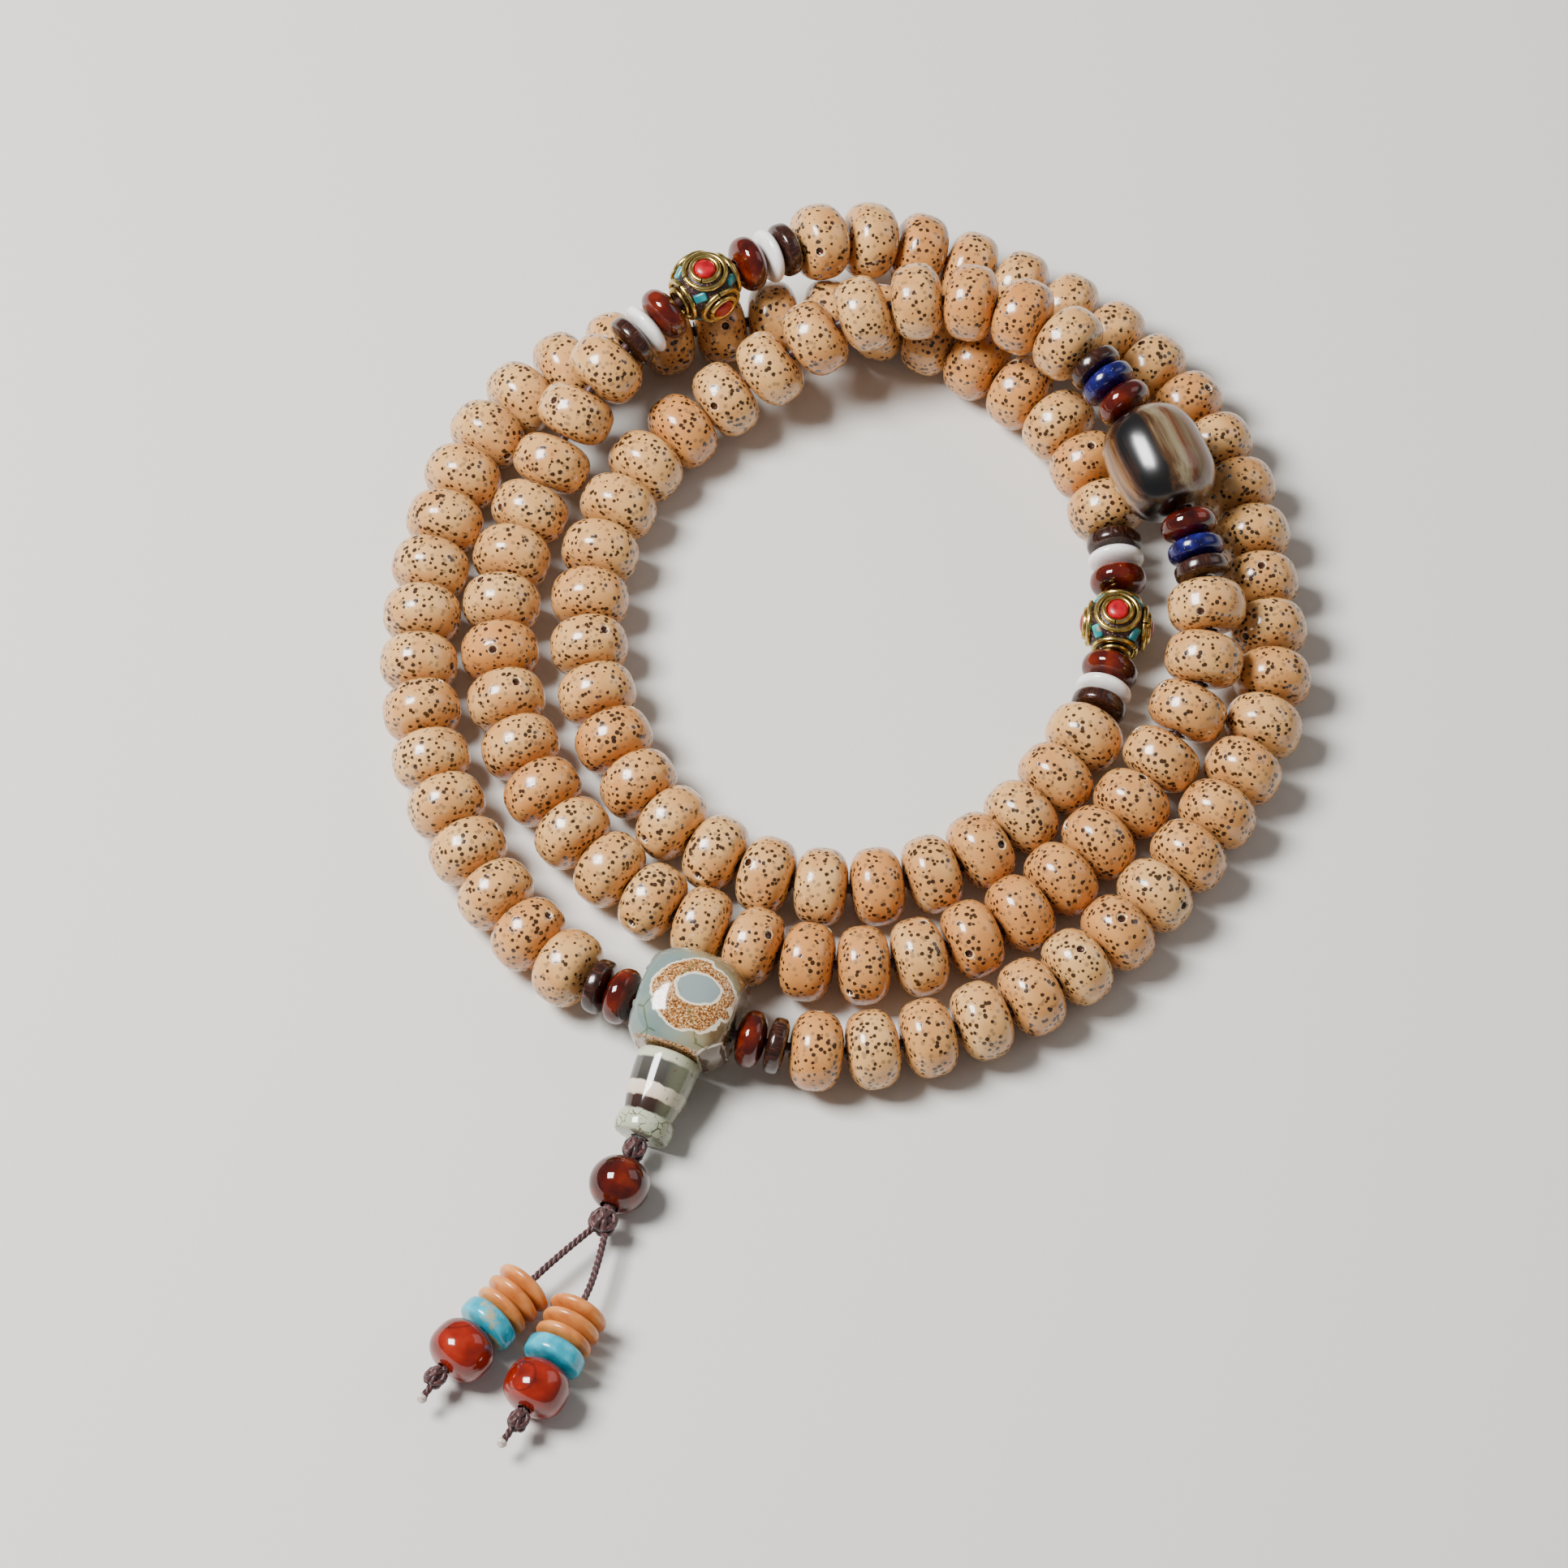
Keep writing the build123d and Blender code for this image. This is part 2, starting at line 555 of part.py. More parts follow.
    def lay_drop(self, side):
        """One drop: its cord, five beads, the end knot and the melted tip."""
        points = [self.split + Vector(*point) for point in DROP_ROUTES[side]]
        self.add(f"drop_cord_{side}", cord([tuple(point) for point in points], DROP_CORD_DIAMETER, side))
        self.axes[f"drop_cord_{side}"] = (points[0], Vector(0, 0, 1))
        first, last = list(DROP_BEADS.values())[0], list(DROP_BEADS.values())[-1]
        start = Vector(points[2].X, points[2].Y, first[0] / 2 + TABLE_SPACE)
        end = Vector(points[4].X, points[4].Y, last[0] / 2 + TABLE_SPACE)
        direction = (end - start).normalized()
        place = -STACK_LEAD
        for name, (diameter, length, squareness) in DROP_BEADS.items():
            middle = start + direction * (place + length / 2)
            frame = along(middle, direction)
            self.add(f"{name}_{side}", frame * bead(diameter, length, DROP_BORE, squareness))
            self.axes[f"{name}_{side}"] = (middle, direction)
            place += length + DISC_SPACE
        knot_middle = start + direction * (place + END_KNOT_LENGTH / 2)
        knot_middle = Vector(knot_middle.X, knot_middle.Y, points[5].Z)
        end_knot = bead(END_KNOT_DIAMETER, END_KNOT_LENGTH, 0, 2)
        self.add(f"end_knot_{side}", along(knot_middle, direction) * end_knot)
        tip_way = (points[6] - points[5]).normalized()
        tip = bead(TIP_DIAMETER, TIP_LENGTH, 0, 2.2)
        self.add(f"cord_tip_{side}", along(points[6], tip_way) * tip)

    def centre_on_table(self):
        """Put the origin under the middle of everything but the drops' cords."""
        boxes = [
            solid.bounding_box()
            for name, solids in self.nodes.items()
            if not name.startswith("drop_cord")
            for solid in solids
        ]
        low = [min(tuple(box.min)[axis] for box in boxes) for axis in range(3)]
        high = [max(tuple(box.max)[axis] for box in boxes) for axis in range(3)]
        shift = Vector(-(low[0] + high[0]) / 2, -(low[1] + high[1]) / 2, -low[2])
        for name, solids in self.nodes.items():
            self.nodes[name] = [Pos(*shift) * solid for solid in solids]
        for name, (point, direction) in self.axes.items():
            self.axes[name] = (Vector(*point) + shift, Vector(*direction).normalized())
        self.split = self.split + shift
        self.joints = self.joints + np.array(tuple(shift))
        self.size = [top - bottom for top, bottom in zip(high, low)]


# ---- Build ---------------------------------------------------------------------------------------
beads = Beads()
os.makedirs("parts", exist_ok=True)
for node, solids in beads.nodes.items():
    shape = solids[0] if len(solids) == 1 else Compound(children=solids)
    export_step(shape, f"parts/{node}.step")
print(f"{len(beads.nodes)} nodes, size {beads.size[0]:.1f} x {beads.size[1]:.1f} x {beads.size[2]:.1f} mm")
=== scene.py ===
import json
import math
import random

import bmesh
import bpy
import numpy as np
from mathutils import Matrix, Vector, noise

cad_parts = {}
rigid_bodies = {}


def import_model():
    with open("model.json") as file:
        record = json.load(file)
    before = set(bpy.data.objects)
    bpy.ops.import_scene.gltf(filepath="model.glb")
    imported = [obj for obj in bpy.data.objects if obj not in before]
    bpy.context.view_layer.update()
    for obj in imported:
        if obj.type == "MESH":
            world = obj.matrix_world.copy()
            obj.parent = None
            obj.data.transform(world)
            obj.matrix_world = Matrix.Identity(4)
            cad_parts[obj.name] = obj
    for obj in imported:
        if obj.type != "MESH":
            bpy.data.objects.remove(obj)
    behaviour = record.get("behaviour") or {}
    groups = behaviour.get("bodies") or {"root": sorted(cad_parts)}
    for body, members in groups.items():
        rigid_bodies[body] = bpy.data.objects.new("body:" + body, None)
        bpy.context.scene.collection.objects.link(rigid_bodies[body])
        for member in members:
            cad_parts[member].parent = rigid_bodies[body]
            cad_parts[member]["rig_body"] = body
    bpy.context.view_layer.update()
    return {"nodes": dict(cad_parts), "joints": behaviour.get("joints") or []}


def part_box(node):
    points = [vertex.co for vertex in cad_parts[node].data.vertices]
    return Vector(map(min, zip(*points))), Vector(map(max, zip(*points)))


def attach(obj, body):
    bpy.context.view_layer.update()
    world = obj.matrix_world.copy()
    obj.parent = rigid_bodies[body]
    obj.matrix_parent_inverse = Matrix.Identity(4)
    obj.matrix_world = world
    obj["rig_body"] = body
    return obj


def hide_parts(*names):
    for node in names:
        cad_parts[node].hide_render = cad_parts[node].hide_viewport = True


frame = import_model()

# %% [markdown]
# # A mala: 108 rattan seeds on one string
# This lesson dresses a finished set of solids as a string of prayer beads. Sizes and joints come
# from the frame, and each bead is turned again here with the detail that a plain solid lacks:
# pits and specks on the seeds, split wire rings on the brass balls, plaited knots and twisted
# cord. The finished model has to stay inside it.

MM = 0.001
NODES = frame["nodes"]
JOINTS = {joint["child"]: joint for joint in frame["joints"]}
print(f"{len(NODES)} nodes and {len(JOINTS)} joints in the frame")

# %% [markdown]
# ## Camera
# The beads lie on a table and are seen from high in front, with a long lens that keeps the near
# and far beads almost the same size. A camera a metre off with a narrow field does the same.
# The point that it looks at is a little behind and to the left of the frame's origin, which puts
# the ring of beads to the right of the middle, as a composed picture of it would.

# %% Camera
CAMERA_HEIGHT_ANGLE = math.radians(61)
CAMERA_DISTANCE = 1.0
CAMERA_FIELD = math.radians(11.37)
LOOK_AT = Vector((-7.8, 6.6, 0)) * MM


def place_camera():
    camera = bpy.data.objects.new("camera", bpy.data.cameras.new("camera"))
    bpy.context.scene.collection.objects.link(camera)
    camera.data.angle = CAMERA_FIELD
    away = Vector((0, -math.cos(CAMERA_HEIGHT_ANGLE), math.sin(CAMERA_HEIGHT_ANGLE)))
    camera.location = LOOK_AT + away * CAMERA_DISTANCE
    camera.rotation_euler = (math.pi / 2 - CAMERA_HEIGHT_ANGLE, 0, 0)
    bpy.context.scene.camera = camera
    return camera


print("camera at", [round(value, 3) for value in place_camera().location])

# %% [markdown]
# ## Nodes and colours
# Colours are written as the sRGB hex values that a colour picker gives, and one function turns
# them to the linear values that a shader needs. One helper adds a shader node, sets its choices
# and sets or links its inputs, so each finish below reads as a short list of nodes.


# %% Colour and node helpers
def colour(hex_code):
    """An sRGB hex colour as linear red, green, blue and alpha."""
    parts = [int(hex_code[place:place + 2], 16) / 255 for place in (0, 2, 4)]
    linear = [part / 12.92 if part <= 0.04045 else ((part + 0.055) / 1.055) ** 2.4 for part in parts]
    return (*linear, 1.0)


def add(material, kind, inputs=None, ramp=None, **choices):
    """Add a node to a material. Inputs are values or other nodes' outputs, by name or number."""
    node = material.node_tree.nodes.new("ShaderNode" + kind)
    for name, value in choices.items():
        setattr(node, name, value)
    for name, value in (inputs or {}).items():
        if isinstance(value, bpy.types.NodeSocket):
            material.node_tree.links.new(value, node.inputs[name])
        else:
            node.inputs[name].default_value = value
    if ramp:
        stops = node.color_ramp.elements
        while len(stops) < len(ramp):
            stops.new(1.0)
        for stop, (position, hex_code) in zip(stops, ramp):
            stop.position = position
            stop.color = colour(hex_code)
    return node


def new_finish(name, **values):
    """A material with the values that hold all over it set on its own shader."""
    material = bpy.data.materials.new(name)
    material.use_nodes = True
    shader = material.node_tree.nodes["Principled BSDF"]
    for socket, value in values.items():
        shader.inputs[socket.replace("_", " ")].default_value = value
    return material, shader


def link(material, output, shader, socket):
    material.node_tree.links.new(output, shader.inputs[socket])


def place_on_bead(material, stretch=(1, 1, 1)):
    """The point on the bead, in millimetres from its middle, with z along its bore."""
    place = add(material, "Attribute", attribute_name="place")
    return add(material, "Mapping", {"Vector": place.outputs["Vector"], "Scale": stretch}).outputs[0]


# %% [markdown]
# ## Shapes
# Every bead is turned on a lathe, so every bead here is an outline spun about its bore. The
# outline is a squared ellipse: the squareness runs from 2, an ellipse, up to 4.5, nearly a
# straight-sided disc. Each vertex keeps its place on its own bead in an attribute, because a
# pattern read from the room's coordinates would cut through all the beads alike.

# %% Bead shapes
SPIN_STEPS = 64


def bead_outline(diameter, length, bore, squareness, points):
    """Radius and height of the outline from one mouth of the bore to the other."""
    mouth = math.acos((bore / diameter) ** (squareness / 2))
    power = 2 / squareness
    for step in range(points):
        angle = mouth * (2 * step / (points - 1) - 1)
        height = math.copysign(length / 2 * abs(math.sin(angle)) ** power, angle)
        yield diameter / 2 * math.cos(angle) ** power, height


def spin_outline(outline, steps=SPIN_STEPS, closed=True, angle=2 * math.pi):
    """A bmesh in millimetres, turned about z from an outline of radius and height."""
    shape = bmesh.new()
    verts = [shape.verts.new((radius, 0, height)) for radius, height in outline]
    ends = verts[1:] + verts[:1] if closed else verts[1:]
    edges = [shape.edges.new(pair) for pair in zip(verts, ends)]
    full = angle > 2 * math.pi - 1e-6
    bmesh.ops.spin(shape, geom=verts + edges, axis=(0, 0, 1), angle=angle, steps=steps, use_merge=full)
    bmesh.ops.remove_doubles(shape, verts=shape.verts, dist=1e-4)
    bmesh.ops.recalc_face_normals(shape, faces=shape.faces)
    return shape


def bead(diameter, length, bore, squareness, points=17, steps=SPIN_STEPS, lip=0.12):
    """A bead with its bore, whose two mouths are eased by a small round lip."""
    shape = spin_outline(bead_outline(diameter, length, bore, squareness, points), steps)
    mouths = [
        edge
        for edge in shape.edges
        if all(math.hypot(vert.co.x, vert.co.y) < bore / 2 + 0.02 for vert in edge.verts)
        and abs(edge.verts[0].co.z - edge.verts[1].co.z) < 0.01
    ]
    bmesh.ops.bevel(
        shape, geom=mouths, offset=lip, segments=2, profile=0.5, affect="EDGES", material=-1
    )
    return shape


def bead_matrix(point, direction, turn=0.0):
    """Puts z along a direction and x as near to up as it can be, then turns the bead about z."""
    way = Vector(direction).normalized()
    raised = (Vector((0, 0, 1)) - way * way.z).normalized()
    across = way.cross(raised)
    spun = Matrix((raised, across, way)).transposed().to_4x4() @ Matrix.Rotation(turn, 4, "Z")
    return Matrix.Translation(Vector(point)) @ spun @ Matrix.Scale(MM, 4)


# %% [markdown]
# A piece is several turned shapes joined in one mesh. It stands for its CAD nodes, rides on
# their body, and sits at the origin with its place in its mesh, as a CAD node does.


# %% Making a piece from shapes
def gather(parts):
    """One mesh from (shape, matrix, pattern shift, tint) parts, with place and tint stored."""
    whole = bmesh.new()
    place = whole.verts.layers.float_vector.new("place")
    tint = whole.verts.layers.float.new("tint")
    for shape, matrix, shift, shade in parts:
        part = bpy.data.meshes.new("part")
        shape.to_mesh(part)
        start = len(whole.verts)
        whole.from_mesh(part)
        bpy.data.meshes.remove(part)
        whole.verts.ensure_lookup_table()
        added = whole.verts[start:]
        for vert in added:
            vert[place] = vert.co + Vector(shift)
            vert[tint] = shade
        bmesh.ops.transform(whole, matrix=matrix, verts=added)
    for face in whole.faces:
        face.smooth = True
    mesh = bpy.data.meshes.new("piece")
    whole.to_mesh(mesh)
    whole.free()
    return mesh


def make_piece(name, parts, finish, nodes, smooth_angle=40):
    """A finished piece that stands for CAD nodes and rides on their body."""
    mesh = gather(parts)
    mesh.set_sharp_from_angle(angle=math.radians(smooth_angle))
    piece = bpy.data.objects.new(name, mesh)
    bpy.context.scene.collection.objects.link(piece)
    mesh.materials.append(finish)
    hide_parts(*nodes)
    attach(piece, NODES[nodes[0]]["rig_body"])
    return piece


# %% [markdown]
# ## The cords of the two drops
# The thin cord of each drop is waxed nylon: three fine strands laid together. Its line is a
# smooth curve through a few points, the same ones as in the CAD part, from the split knot to its
# melted tip. The strands are tubes wound about points read from that curve, because a bare tube
# would look like wire. Each drop starts where its joint turns.

# %% Cord routes
DROP_CORD_DIAMETER = 0.95
STRAND_RADIUS = 0.22
STRANDS = 3
LAY_LENGTH = 2.4
DROP_ROUTES = {
    "left": [
        (-0.75, -0.3, 0.0), (-5.3, -4.4, 0.0), (-9.6, -8.9, 0.1), (-13.3, -13.1, 0.2),
        (-16.9, -17.3, 0.3), (-20.0, -21.1, 0.2), (-21.7, -23.5, -0.3),
    ],
    "right": [
        (0.35, -0.8, 0.0), (-0.6, -6.3, 0.0), (-2.9, -12.3, 0.1), (-5.3, -17.4, 0.2),
        (-7.8, -22.4, 0.3), (-10.2, -26.9, 0.2), (-11.9, -29.4, -0.3),
    ],
}


def route_points(side):
    """The drop's route in metres: its first point is where the drop's joint turns."""
    exit_point = Vector(JOINTS[f"drop_{side}"]["pos_m"])
    first = Vector(DROP_ROUTES[side][0])
    return [exit_point + (Vector(point) - first) * MM for point in DROP_ROUTES[side]]


def smooth_line(points, resolution=24):
    """Points read from a smooth open curve with these control points."""
    data = bpy.data.curves.new("line", "CURVE")
    data.dimensions = "3D"
    data.resolution_u = resolution
    spline = data.splines.new("NURBS")
    spline.points.add(len(points) - 1)
    for knot, point in zip(spline.points, points):
        knot.co = (*point, 1)
    spline.order_u = 3
    spline.use_endpoint_u = True
    line = bpy.data.objects.new("line", data)
    bpy.context.scene.collection.objects.link(line)
    bpy.context.view_layer.update()
    mesh = bpy.data.meshes.new_from_object(line.evaluated_get(bpy.context.evaluated_depsgraph_get()))
    found = [vert.co.copy() for vert in mesh.vertices]
    bpy.data.objects.remove(line)
    bpy.data.curves.remove(data)
    bpy.data.meshes.remove(mesh)
    return found


def tube(points, radius, closed=False, sides=3):
    """A bmesh tube along points in millimetres, made by a curve's own round bevel."""
    data = bpy.data.curves.new("tube", "CURVE")
    data.dimensions = "3D"
    data.bevel_depth = radius
    data.bevel_resolution = sides
    data.use_fill_caps = not closed
    spline = data.splines.new("POLY")
    spline.points.add(len(points) - 1)
    for knot, point in zip(spline.points, points):
        knot.co = (*point, 1)
    spline.use_cyclic_u = closed
    holder = bpy.data.objects.new("tube", data)
    mesh = bpy.data.meshes.new_from_object(holder)
    shape = bmesh.new()
    shape.from_mesh(mesh)
    bmesh.ops.remove_doubles(shape, verts=shape.verts, dist=1e-5)
    bmesh.ops.recalc_face_normals(shape, faces=shape.faces)
    bpy.data.objects.remove(holder)
    bpy.data.curves.remove(data)
    bpy.data.meshes.remove(mesh)
    return shape


def even_points(points, spacing):
    """Points at an even spacing along a line of points."""
    points = [np.array(point) for point in points]
    steps = [np.linalg.norm(after - before) for before, after in zip(points, points[1:])]
    places = np.concatenate([[0], np.cumsum(steps)])
    wanted = np.linspace(0, places[-1], max(2, round(places[-1] / spacing) + 1))
    lines = np.array(points)
    return [Vector([np.interp(at, places, lines[:, axis]) for axis in range(3)]) for at in wanted]


def wound_strands(points, strands, radius, core_radius, lay):
    """Strands wound about a line: each is a tube in millimetres that turns once in each lay."""
    line = even_points(points, 0.16)
    shapes = []
    for strand in range(strands):
        wound, travelled = [], 0.0
        for index, point in enumerate(line):
            before, after = line[max(index - 1, 0)], line[min(index + 1, len(line) - 1)]
            way = (after - before).normalized()
            side = way.cross(Vector((0, 0, 1))).normalized()
            angle = 2 * math.pi * (travelled / lay + strand / strands)
            offset = side * math.cos(angle) + side.cross(way) * math.sin(angle)
            wound.append(point + offset * core_radius)
            travelled += 0.16
        shapes.append(tube(wound, radius, sides=2))
    return shapes


# %% [markdown]
# ## Finish: waxed nylon cord
# Dark maroon-brown nylon that was waxed and laid up from fine filaments. It gives soft narrow
# glints on each strand, with tiny bright and dark filaments across them.


# %% Waxed nylon cord
def waxed_cord():
    finish, shader = new_finish("waxed_nylon_cord", Roughness=0.45, Sheen_Weight=0.25)
    place = add(finish, "TexCoord").outputs["Object"]
    fibres = add(finish, "TexNoise", {"Vector": place, "Scale": 2600.0, "Detail": 2.0})
    shade = add(
        finish, "ValToRGB", {"Fac": fibres.outputs[0]}, ramp=[(0.35, "220c0d"), (0.7, "5c2e2c")]
    )
    link(finish, shade.outputs[0], shader, "Base Color")
    bump = add(finish, "Bump", {"Height": fibres.outputs[0], "Strength": 0.6, "Distance": 0.00008})
    link(finish, bump.outputs[0], shader, "Normal")
    return finish


CORD = waxed_cord()


# %% The two cords
def lay_cord(side):
    route = route_points(side)
    line = smooth_line(route)
    in_mm = [point / MM for point in line]
    core_radius = DROP_CORD_DIAMETER / 2 - STRAND_RADIUS
    shapes = wound_strands(in_mm, STRANDS, STRAND_RADIUS, core_radius, LAY_LENGTH)
    scale = Matrix.Scale(MM, 4)
    parts = [(shape, scale, (0, 0, 0), 0.5) for shape in shapes]
    cord = make_piece(f"twisted_cord_{side}", parts, CORD, [f"drop_cord_{side}"], 60)


for side in DROP_ROUTES:
    lay_cord(side)


# %% [markdown]
# ## Finish: polished rattan seed
# The seeds are called star and moon. Each is a cream-tan nut ground to a barrel and polished,
# with many dark vessel ends (the stars) and one round pit (the moon). The stars are a pattern of
# cells through the whole seed: where a cell's middle lies near the skin there is a small dark
# dot. A second, larger pattern gives the grey stars that lie just under the polish. Each seed
# has its own shift of the pattern and its own tint, and orange clouds lie here and there on it.

# %% Rattan seed finish
STAR_SPACING = 0.7
FAINT_STAR_SPACING = 0.9


def rattan_seed():
    finish, shader = new_finish(
        "polished_rattan_seed", Roughness=0.2, IOR=1.52, Coat_Weight=0.35, Coat_Roughness=0.08
    )
    place = place_on_bead(finish)
    tint = add(finish, "Attribute", attribute_name="tint").outputs["Fac"]
    tan = add(finish, "Mix", {0: tint, 6: colour("dba868"), 7: colour("cd8a48")}, data_type="RGBA")
    clouds = add(finish, "TexNoise", {"Vector": place, "Scale": 0.22, "Detail": 3.0}).outputs[0]
    clouded = add(finish, "MapRange", {0: clouds, 1: 0.42, 2: 0.7, 3: 0.0, 4: 0.6}).outputs[0]
    base = add(
        finish, "Mix", {0: clouded, 6: tan.outputs[2], 7: colour("bd7638")}, data_type="RGBA"
    ).outputs[2]
    faint = add(finish, "TexVoronoi", {"Vector": place, "Scale": 1 / FAINT_STAR_SPACING}).outputs[0]
    faint_mask = add(finish, "MapRange", {0: faint, 1: 0.26, 2: 0.36, 3: 0.6, 4: 0.0}).outputs[0]
    base = add(
        finish, "Mix", {0: faint_mask, 6: base, 7: colour("6f5a44")}, data_type="RGBA"
    ).outputs[2]
    wobble = add(finish, "TexNoise", {"Vector": place, "Scale": 2.2, "Detail": 1.0}).outputs[1]
    bent = add(finish, "Mix", {0: 0.16, 4: place, 5: wobble}, data_type="VECTOR").outputs[1]
    stars = add(finish, "TexVoronoi", {"Vector": bent, "Scale": 1 / STAR_SPACING}).outputs[0]
    crowd = add(finish, "TexNoise", {"Vector": place, "Scale": 0.3, "Detail": 1.0}).outputs[0]
    size = add(finish, "MapRange", {0: crowd, 1: 0.35, 2: 0.65, 3: 0.28, 4: 0.4}).outputs[0]
    depth = add(finish, "Math", {0: size, 1: stars}, operation="SUBTRACT").outputs[0]
    star_mask = add(finish, "MapRange", {0: depth, 1: 0.0, 2: 0.05, 3: 0.0, 4: 0.95}).outputs[0]
    base = add(finish, "Mix", {0: star_mask, 6: base, 7: colour("1c0f0a")}, data_type="RGBA").outputs[2]
    moon = add(finish, "Attribute", attribute_name="moon").outputs["Fac"]
    moon_shade = add(
        finish, "ValToRGB", {"Fac": moon},
        ramp=[(0.0, "2a1208"), (0.5, "4a2411"), (0.62, "ecd0a4"), (0.72, "dba868")],
    ).outputs[0]
    near = add(finish, "MapRange", {0: moon, 1: 0.66, 2: 0.78, 3: 1.0, 4: 0.0}).outputs[0]
    base = add(finish, "Mix", {0: near, 6: base, 7: moon_shade}, data_type="RGBA").outputs[2]
    link(finish, base, shader, "Base Color")
    bump = add(finish, "Bump", {"Height": star_mask, "Strength": 0.25, "Distance": -0.00005})
    link(finish, bump.outputs[0], shader, "Normal")
    return finish


SEED_FINISH = rattan_seed()

# %% [markdown]
# ## The seeds
# A seed is one turned barrel. Its moon is sunk into the mesh: the faces round it are cut finer,
# and their vertices go down by a smooth step, which leaves a real pit with a rim. How far each
# vertex lies from the moon is kept in an attribute, for the dark inside and the light rim. Three
# moons in different places make three kinds of seed, and each seed on the string is one of them
# turned at random. Where each seed goes is measured from the CAD solids: the middle of its skin,
# and the direction in which its skin spreads least, which is the bore.

# %% Seed shapes
SEED = (10.0, 6.7, 2.2, 2.8)
MOON_HEIGHTS = (1.3, 0.2, 2.0)
MOON_RADIUS = 0.56
MOON_DEPTH = 0.55
MOON_REACH = 1.3


def seed_shape(moon_height):
    shape = bead(*SEED, points=15, steps=48)
    moon = shape.verts.layers.float.new("moon")
    diameter, length, _, squareness = SEED
    share = (2 * moon_height / length) ** squareness
    centre = Vector((diameter / 2 * (1 - share) ** (1 / squareness), 0, moon_height))
    near = [face for face in shape.faces if (face.calc_center_median() - centre).length < MOON_REACH]
    edges = list({edge for face in near for edge in face.edges})
    bmesh.ops.subdivide_edges(shape, edges=edges, cuts=3, use_grid_fill=True, smooth=1.0)
    inward = Vector((-1, 0, 0))
    for vert in shape.verts:
        distance = (vert.co - centre).length
        vert[moon] = min(1.0, distance / MOON_RADIUS * 0.6)
        fall = min(1.0, max(0.0, (MOON_RADIUS * 1.05 - distance) / (MOON_RADIUS * 0.45)))
        vert.co += inward * MOON_DEPTH * fall * fall * (3 - 2 * fall)
    return shape


def solids_of(node):
    """The middle and the axis of each separate solid in a CAD node, in a steady order."""
    shape = bmesh.new()
    shape.from_mesh(NODES[node].data)
    bmesh.ops.remove_doubles(shape, verts=shape.verts, dist=1e-6)
    unseen = set(shape.faces)
    found = []
    for start in shape.faces:
        if start not in unseen:
            continue
        unseen.discard(start)
        island, queue = [], [start]
        while queue:
            face = queue.pop()
            island.append((face.calc_area(), *face.calc_center_median()))
            for edge in face.edges:
                for neighbour in edge.link_faces:
                    if neighbour in unseen:
                        unseen.discard(neighbour)
                        queue.append(neighbour)
        rows = np.array(island)
        weight = rows[:, 0] / rows[:, 0].sum()
        middle = (weight[:, None] * rows[:, 1:]).sum(axis=0)
        away = rows[:, 1:] - middle
        _, axes = np.linalg.eigh((away * weight[:, None]).T @ away)
        axis = axes[:, 0] * np.sign(axes[np.abs(axes[:, 0]).argmax(), 0])
        found.append((Vector(middle), Vector(axis)))
    shape.free()
    return sorted(found, key=lambda solid: [round(value, 4) for value in solid[0]])


# %% The four runs of seeds
SEED_TURNS = random.Random(108)
SEED_SHAPES = [seed_shape(height) for height in MOON_HEIGHTS]


def string_seeds(node):
    parts = []
    for middle, axis in solids_of(node):
        flip = -1 if SEED_TURNS.random() < 0.5 else 1
        turn = SEED_TURNS.uniform(0, 2 * math.pi)
        shift = [SEED_TURNS.uniform(-400, 400) for _ in range(3)]
        shade = SEED_TURNS.random() ** 2.2
        shape = SEED_TURNS.choice(SEED_SHAPES)
        parts.append((shape, bead_matrix(middle, axis * flip, turn), shift, shade))
    make_piece(f"rattan_{node}", parts, SEED_FINISH, [node])
    print(f"{node}: {len(parts)} seeds")


for number in range(1, 5):
    string_seeds(f"seeds_{number}")

# %% [markdown]
# ## Finishes: the spacer stones, shell and wood
# The spacers beside the markers are carnelian (a red-brown quartz that light soaks into), white
# shell, lapis lazuli and coconut shell. Light that enters carnelian comes out red a few
# millimetres away, so it is mostly subsurface; the others are opaque and differ in grain.


# %% Stone finishes
def carnelian():
    finish, shader = new_finish(
        "polished_carnelian", Roughness=0.06, IOR=1.54, Coat_Weight=0.3, Coat_Roughness=0.03,
        Subsurface_Weight=0.6, Subsurface_Scale=0.0012,
        Subsurface_Radius=(1.0, 0.16, 0.05),
    )
    place = place_on_bead(finish)
    smoke = add(finish, "TexNoise", {"Vector": place, "Scale": 0.35, "Detail": 4.0}).outputs[0]
    shade = add(
        finish, "ValToRGB", {"Fac": smoke},
        ramp=[(0.3, "260502"), (0.5, "4e0e04"), (0.72, "7a2408")],
    )
    link(finish, shade.outputs[0], shader, "Base Color")
    return finish


def white_shell():
    finish, shader = new_finish(
        "polished_white_shell", Roughness=0.16, IOR=1.53, Coat_Weight=0.3, Coat_Roughness=0.06,
        Subsurface_Weight=0.25, Subsurface_Scale=0.001,
    )
    place = place_on_bead(finish, (1, 1, 4))
    growth = add(finish, "TexNoise", {"Vector": place, "Scale": 0.5, "Detail": 3.0}).outputs[0]
    shade = add(finish, "ValToRGB", {"Fac": growth}, ramp=[(0.3, "e9e4db"), (0.6, "fbf9f5")])
    link(finish, shade.outputs[0], shader, "Base Color")
    return finish


